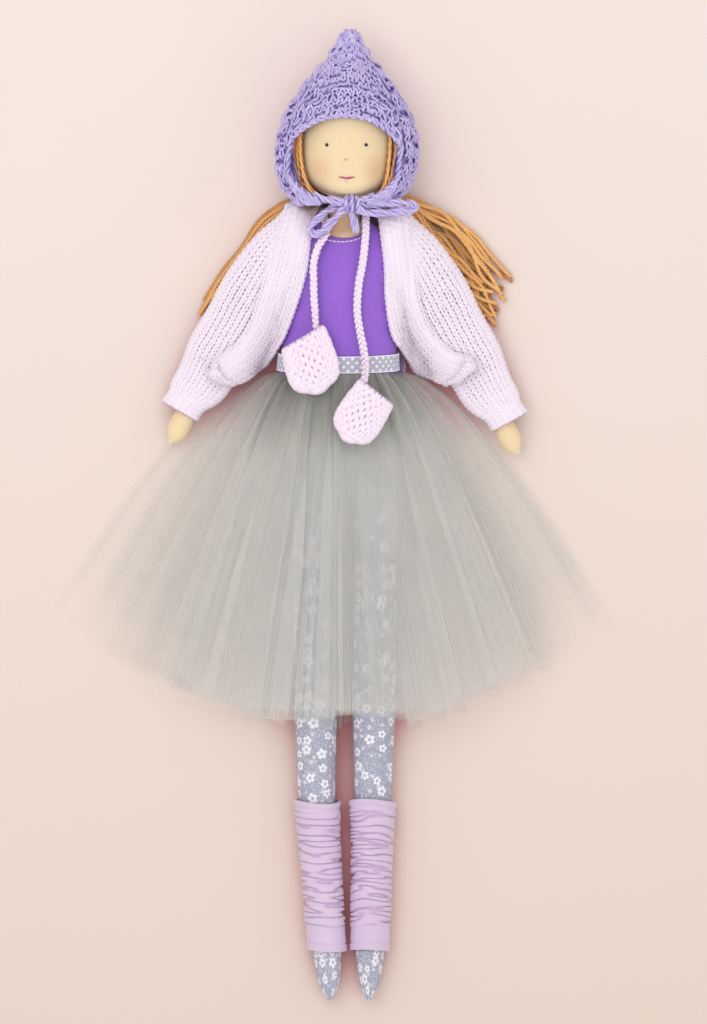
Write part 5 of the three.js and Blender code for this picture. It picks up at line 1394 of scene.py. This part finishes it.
def flowers(made, cell, radius, petals, keep, seed):
    """White flower masks. Each petal is a disc of radius 0.35 r whose middle is 0.6 r out; the angle is folded
    into one petal's share, so one disc serves them all. keep is the share of cells that hold a flower."""
    shifted = made.add("ShaderNodeVectorMath", {"operation": "ADD"}, made.uv(), (seed * 3.7, seed * 9.1, 0.0))
    scaled = made.add("ShaderNodeVectorMath", {"operation": "SCALE"}, shifted, Scale=1 / cell)
    middle, tint = (made.add("ShaderNodeTexVoronoi", {"voronoi_dimensions": "2D", "feature": "F1"}, scaled,
                             output=output, Scale=1.0, Randomness=PLACE_JITTER) for output in ("Position", "Color"))
    x, y, _ = made.parts(made.add("ShaderNodeVectorMath", {"operation": "SUBTRACT"}, scaled, middle))
    chance, spin, size = made.parts(tint)
    far = (x * x + y * y).do("SQRT") * cell
    angle = y.do("ARCTAN2", x) + spin * TURN
    whole = (size * 0.35 + 0.75) * radius
    folded = ((angle * (petals / TURN)).do("FRACT") - 0.5) * (TURN / petals)
    petal_x, petal_y = far * folded.do("COSINE") - whole * PETAL_OUT, far * folded.do("SINE")
    mask = made.range((petal_x * petal_x + petal_y * petal_y).do("SQRT") - whole * PETAL_RADIUS, 0.2, -0.2)
    heart = made.range(far, radius * HEART_RADIUS, radius * (HEART_RADIUS + 0.1))
    ring = made.range(far, radius * (HEART_RADIUS + 0.19), radius * (HEART_RADIUS + 0.1))
    return mask * (1 - (1 - heart) * 0.8 * ring) * (chance > 1 - keep)


print_finish = Finish("daisy_cotton", Roughness=0.8, Sheen_Weight=0.1)
daisies, buds, dots = (flowers(print_finish, *FLOWERS[kind]) for kind in ("daisy", "bud", "dot"))
print_mask = daisies.do("MAXIMUM", buds).do("MAXIMUM", dots * 0.75)
slub = print_finish.noise(print_finish.place(), 1150.0, 3.0, 0.8)
cloth_tone = print_finish.mix(print_finish.noise(print_finish.place(), 60.0), "#9fa2b6", "#afb1c2")
cloth_tone = print_finish.mix(print_finish.range(slub, 0.52, 0.62) * 0.75, cloth_tone, "#868ba6")
cloth_tone = print_finish.mix(print_finish.range(slub, 0.46, 0.37) * 0.85, cloth_tone, "#eceef5")
print_finish.set(Base_Color=print_finish.mix(print_mask, cloth_tone, "#f0edf6"),
                 Normal=print_finish.bump(weave(print_finish, 2000.0), 0.2, 0.0001))

# %% [markdown]
# A leg is a long stuffed tube, narrower below the knee, that ends in a pointed foot. It is sewn flat across
# the top, which is the hinge on which it sits up.

# %% Legs
LEG_ROUND, PRINT_SHIFT = 48, 40.0


def leg_section(side, share, angle, half_width, half_depth):
    """Points round the leg: its middle goes from the hip to the knee and on to the toe, with a soft bend."""
    x, z = (np.mean([np.interp(share + shift, [0, KNEE_SHARE, 1], line) for shift in np.linspace(-0.05, 0.05, 5)], 0)
            for line in (LEG_X[side], LEG_Z))
    return ellipse(x, LEG_TOP - LEG_LENGTH * share, z, half_width, half_depth, angle)


leg_share = np.concatenate([[0.0], np.linspace(0.004, 0.975, 110), [0.985, 0.992, 0.997, 0.9995]])[:, None]
wide, deep = (size * LEG_HALF_WIDTH + 0.02 for size in along(LEG_SHARES, leg_share, 0.008))
angle = turns(LEG_ROUND)
for side, word in SIDES.items():
    rings = leg_section(side, leg_share, angle, wide, deep)
    print_map = np.stack(np.broadcast_arrays((angle - np.pi / 2) * LEG_HALF_WIDTH * 0.9 + side * PRINT_SHIFT,
                                             leg_share * LEG_LENGTH), -1)
    leg = piece(f"leg_cloth_{word}", rings, tube_faces(1, len(rings), LEG_ROUND), print_finish, f"leg_{word}",
                "print_cloth", print_map)
    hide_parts(f"leg_skin_{word}")

# %% [markdown]
# The leg warmers are tubes of thin jersey, longer than the leg they cover and pushed together. Jersey that
# is pushed together buckles into folds that go round, meet, fork and die out. Their heights are sines of the
# place along the leg whose phase wanders round it, sharpened so that the folds are round and the valleys
# narrow. Both hems stay smooth, and the lower one is turned up and stitched. Painted shade darkens the
# valleys and the inside of the tube.

# %% Leg warmers
WARMER_LENGTH, WARMER_WALL, WARMER_INSIDE, WARMER_FOLD = 84.0, 1.1, 0.15, 0.95
WARMER_TOP_BAND, WARMER_HEM_BAND, WARMER_LOW, WARMER_ROUND = 0.06, 0.86, 0.4, 96
WARMER_SHARES = [[0, 0.95], [0.07, 0.94], [0.13, 0.86], [0.5, 0.79], [0.86, 0.78], [1, 0.8]]
WARMER_WAVES = ((8, 0.9), (14, 1.0), (22, 0.7), (33, 0.35))
HEM_MARKS = ((0.3, 0.965, 0.012), (-0.5, 0.95, 0.006), (0.5, 0.016, 0.016), (-0.45, 0.045, 0.009))
jersey_finish = Finish("jersey", Roughness=0.85, Sheen_Weight=0.3)
jersey_tone = jersey_finish.mix(jersey_finish.noise(jersey_finish.place(), 70.0), "#dccae2", "#d0bbd8")
# Painted shade: darker in the valleys between the folds and on the inside of the tube.
jersey_crease_shade = jersey_finish.range(jersey_finish.attribute("fold"), 0.3, -1.0)
jersey_finish.set(Base_Color=jersey_finish.mix(jersey_crease_shade * 0.4, jersey_tone, "#b795bd"),
                  Normal=jersey_finish.bump(weave(jersey_finish, 2600.0), 0.2, 0.0001))


def warmer_folds(share, angle, seed):
    """Heights from -1 to 1 of the folds that go round a leg warmer."""
    own = np.random.default_rng(seed)
    total = 0.0
    for rate, weight in WARMER_WAVES:
        phase = own.uniform(0, TURN)
        wander = (0.7 * np.sin(angle + own.uniform(0, 6)) + 0.3 * np.sin(2 * angle + own.uniform(0, 6))
                  + 0.2 * np.sin(3 * angle + own.uniform(0, 6) + 9 * share))
        strength = 0.55 + 0.45 * np.sin(angle * own.integers(1, 3) + own.uniform(0, 6) + 7 * share)
        total = total + weight * strength * np.sin(TURN * rate * share * 0.75 + phase + wander)
    return 1 - 2 * np.exp(-(total / 0.26) ** 2)


v, angle = np.linspace(0, 1, 260)[:, None], turns(WARMER_ROUND)
size = along(WARMER_SHARES, v, 0.01)[0] * LEG_HALF_WIDTH
plain = smoothstep(v, WARMER_TOP_BAND, WARMER_TOP_BAND + 0.03)
plain = plain * (1 - smoothstep(v, WARMER_HEM_BAND - 0.05, WARMER_HEM_BAND))
hems = 0.35 * (1 - plain) + sum(mark * np.exp(-((v - at) / spread) ** 2) for mark, at, spread in HEM_MARKS)
for side, word in SIDES.items():
    fold = warmer_folds(v, angle, 30 + side)
    rise = WARMER_FOLD * fold * plain + hems
    lean = 0.006 * np.sin(2 * angle + side) + 0.012 * np.cos(angle + side)
    share = KNEE_SHARE + (v + lean * (1 - 0.5 * v)) * WARMER_LENGTH / LEG_LENGTH
    outer, inner = (leg_section(side, share, angle, size + grow, size + grow)
                    for grow in (WARMER_WALL + rise, WARMER_INSIDE + 0.3 * rise))
    points = np.concatenate([outer, inner[::-1]])
    points[..., 2] = np.maximum(points[..., 2], WARMER_LOW + 0.05 * points[..., 2])
    # Painted shade: fold heights outside and -1 inside, which the finish turns into darker colour.
    shade = np.concatenate([fold * plain + 1 - plain, np.full(fold.shape, -1.0)])
    warmer = piece(f"leg_warmer_{word}_jersey", points, grid_faces(len(points), WARMER_ROUND, True, True),
                   jersey_finish, f"leg_warmer_{word}", "jersey", fold=shade)
    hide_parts(f"leg_warmer_{word}")

# %% [markdown]
# What is inside stays as the frame has it: loose filling under the cloth, and the strong threads on which the
# limbs turn.

# %% Filling and threads
filling_finish = Finish("filling", Roughness=1.0)
filling_tone = filling_finish.noise(filling_finish.place(), 300.0, 4.0, 0.7)
filling_finish.set(Base_Color=filling_finish.mix(filling_tone, "#f4f1ea", "#d8d2c6"),
                   Normal=filling_finish.bump(filling_tone, 0.6, 0.0006))
limb_thread = Finish("limb_thread", Roughness=0.6)
limb_twist = (limb_thread.parts(limb_thread.place())[0] * 5000.0).do("SINE")
limb_thread.set(Base_Color=limb_thread.mix(limb_twist * 0.5 + 0.5, "#efe6da", "#c9bda9"))
for node_name, node in sorted(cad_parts.items()):
    finish = filling_finish if "filling" in node_name else limb_thread if "thread" in node_name else None
    if finish:
        node.data.materials.clear()
        node.data.materials.append(finish.material)
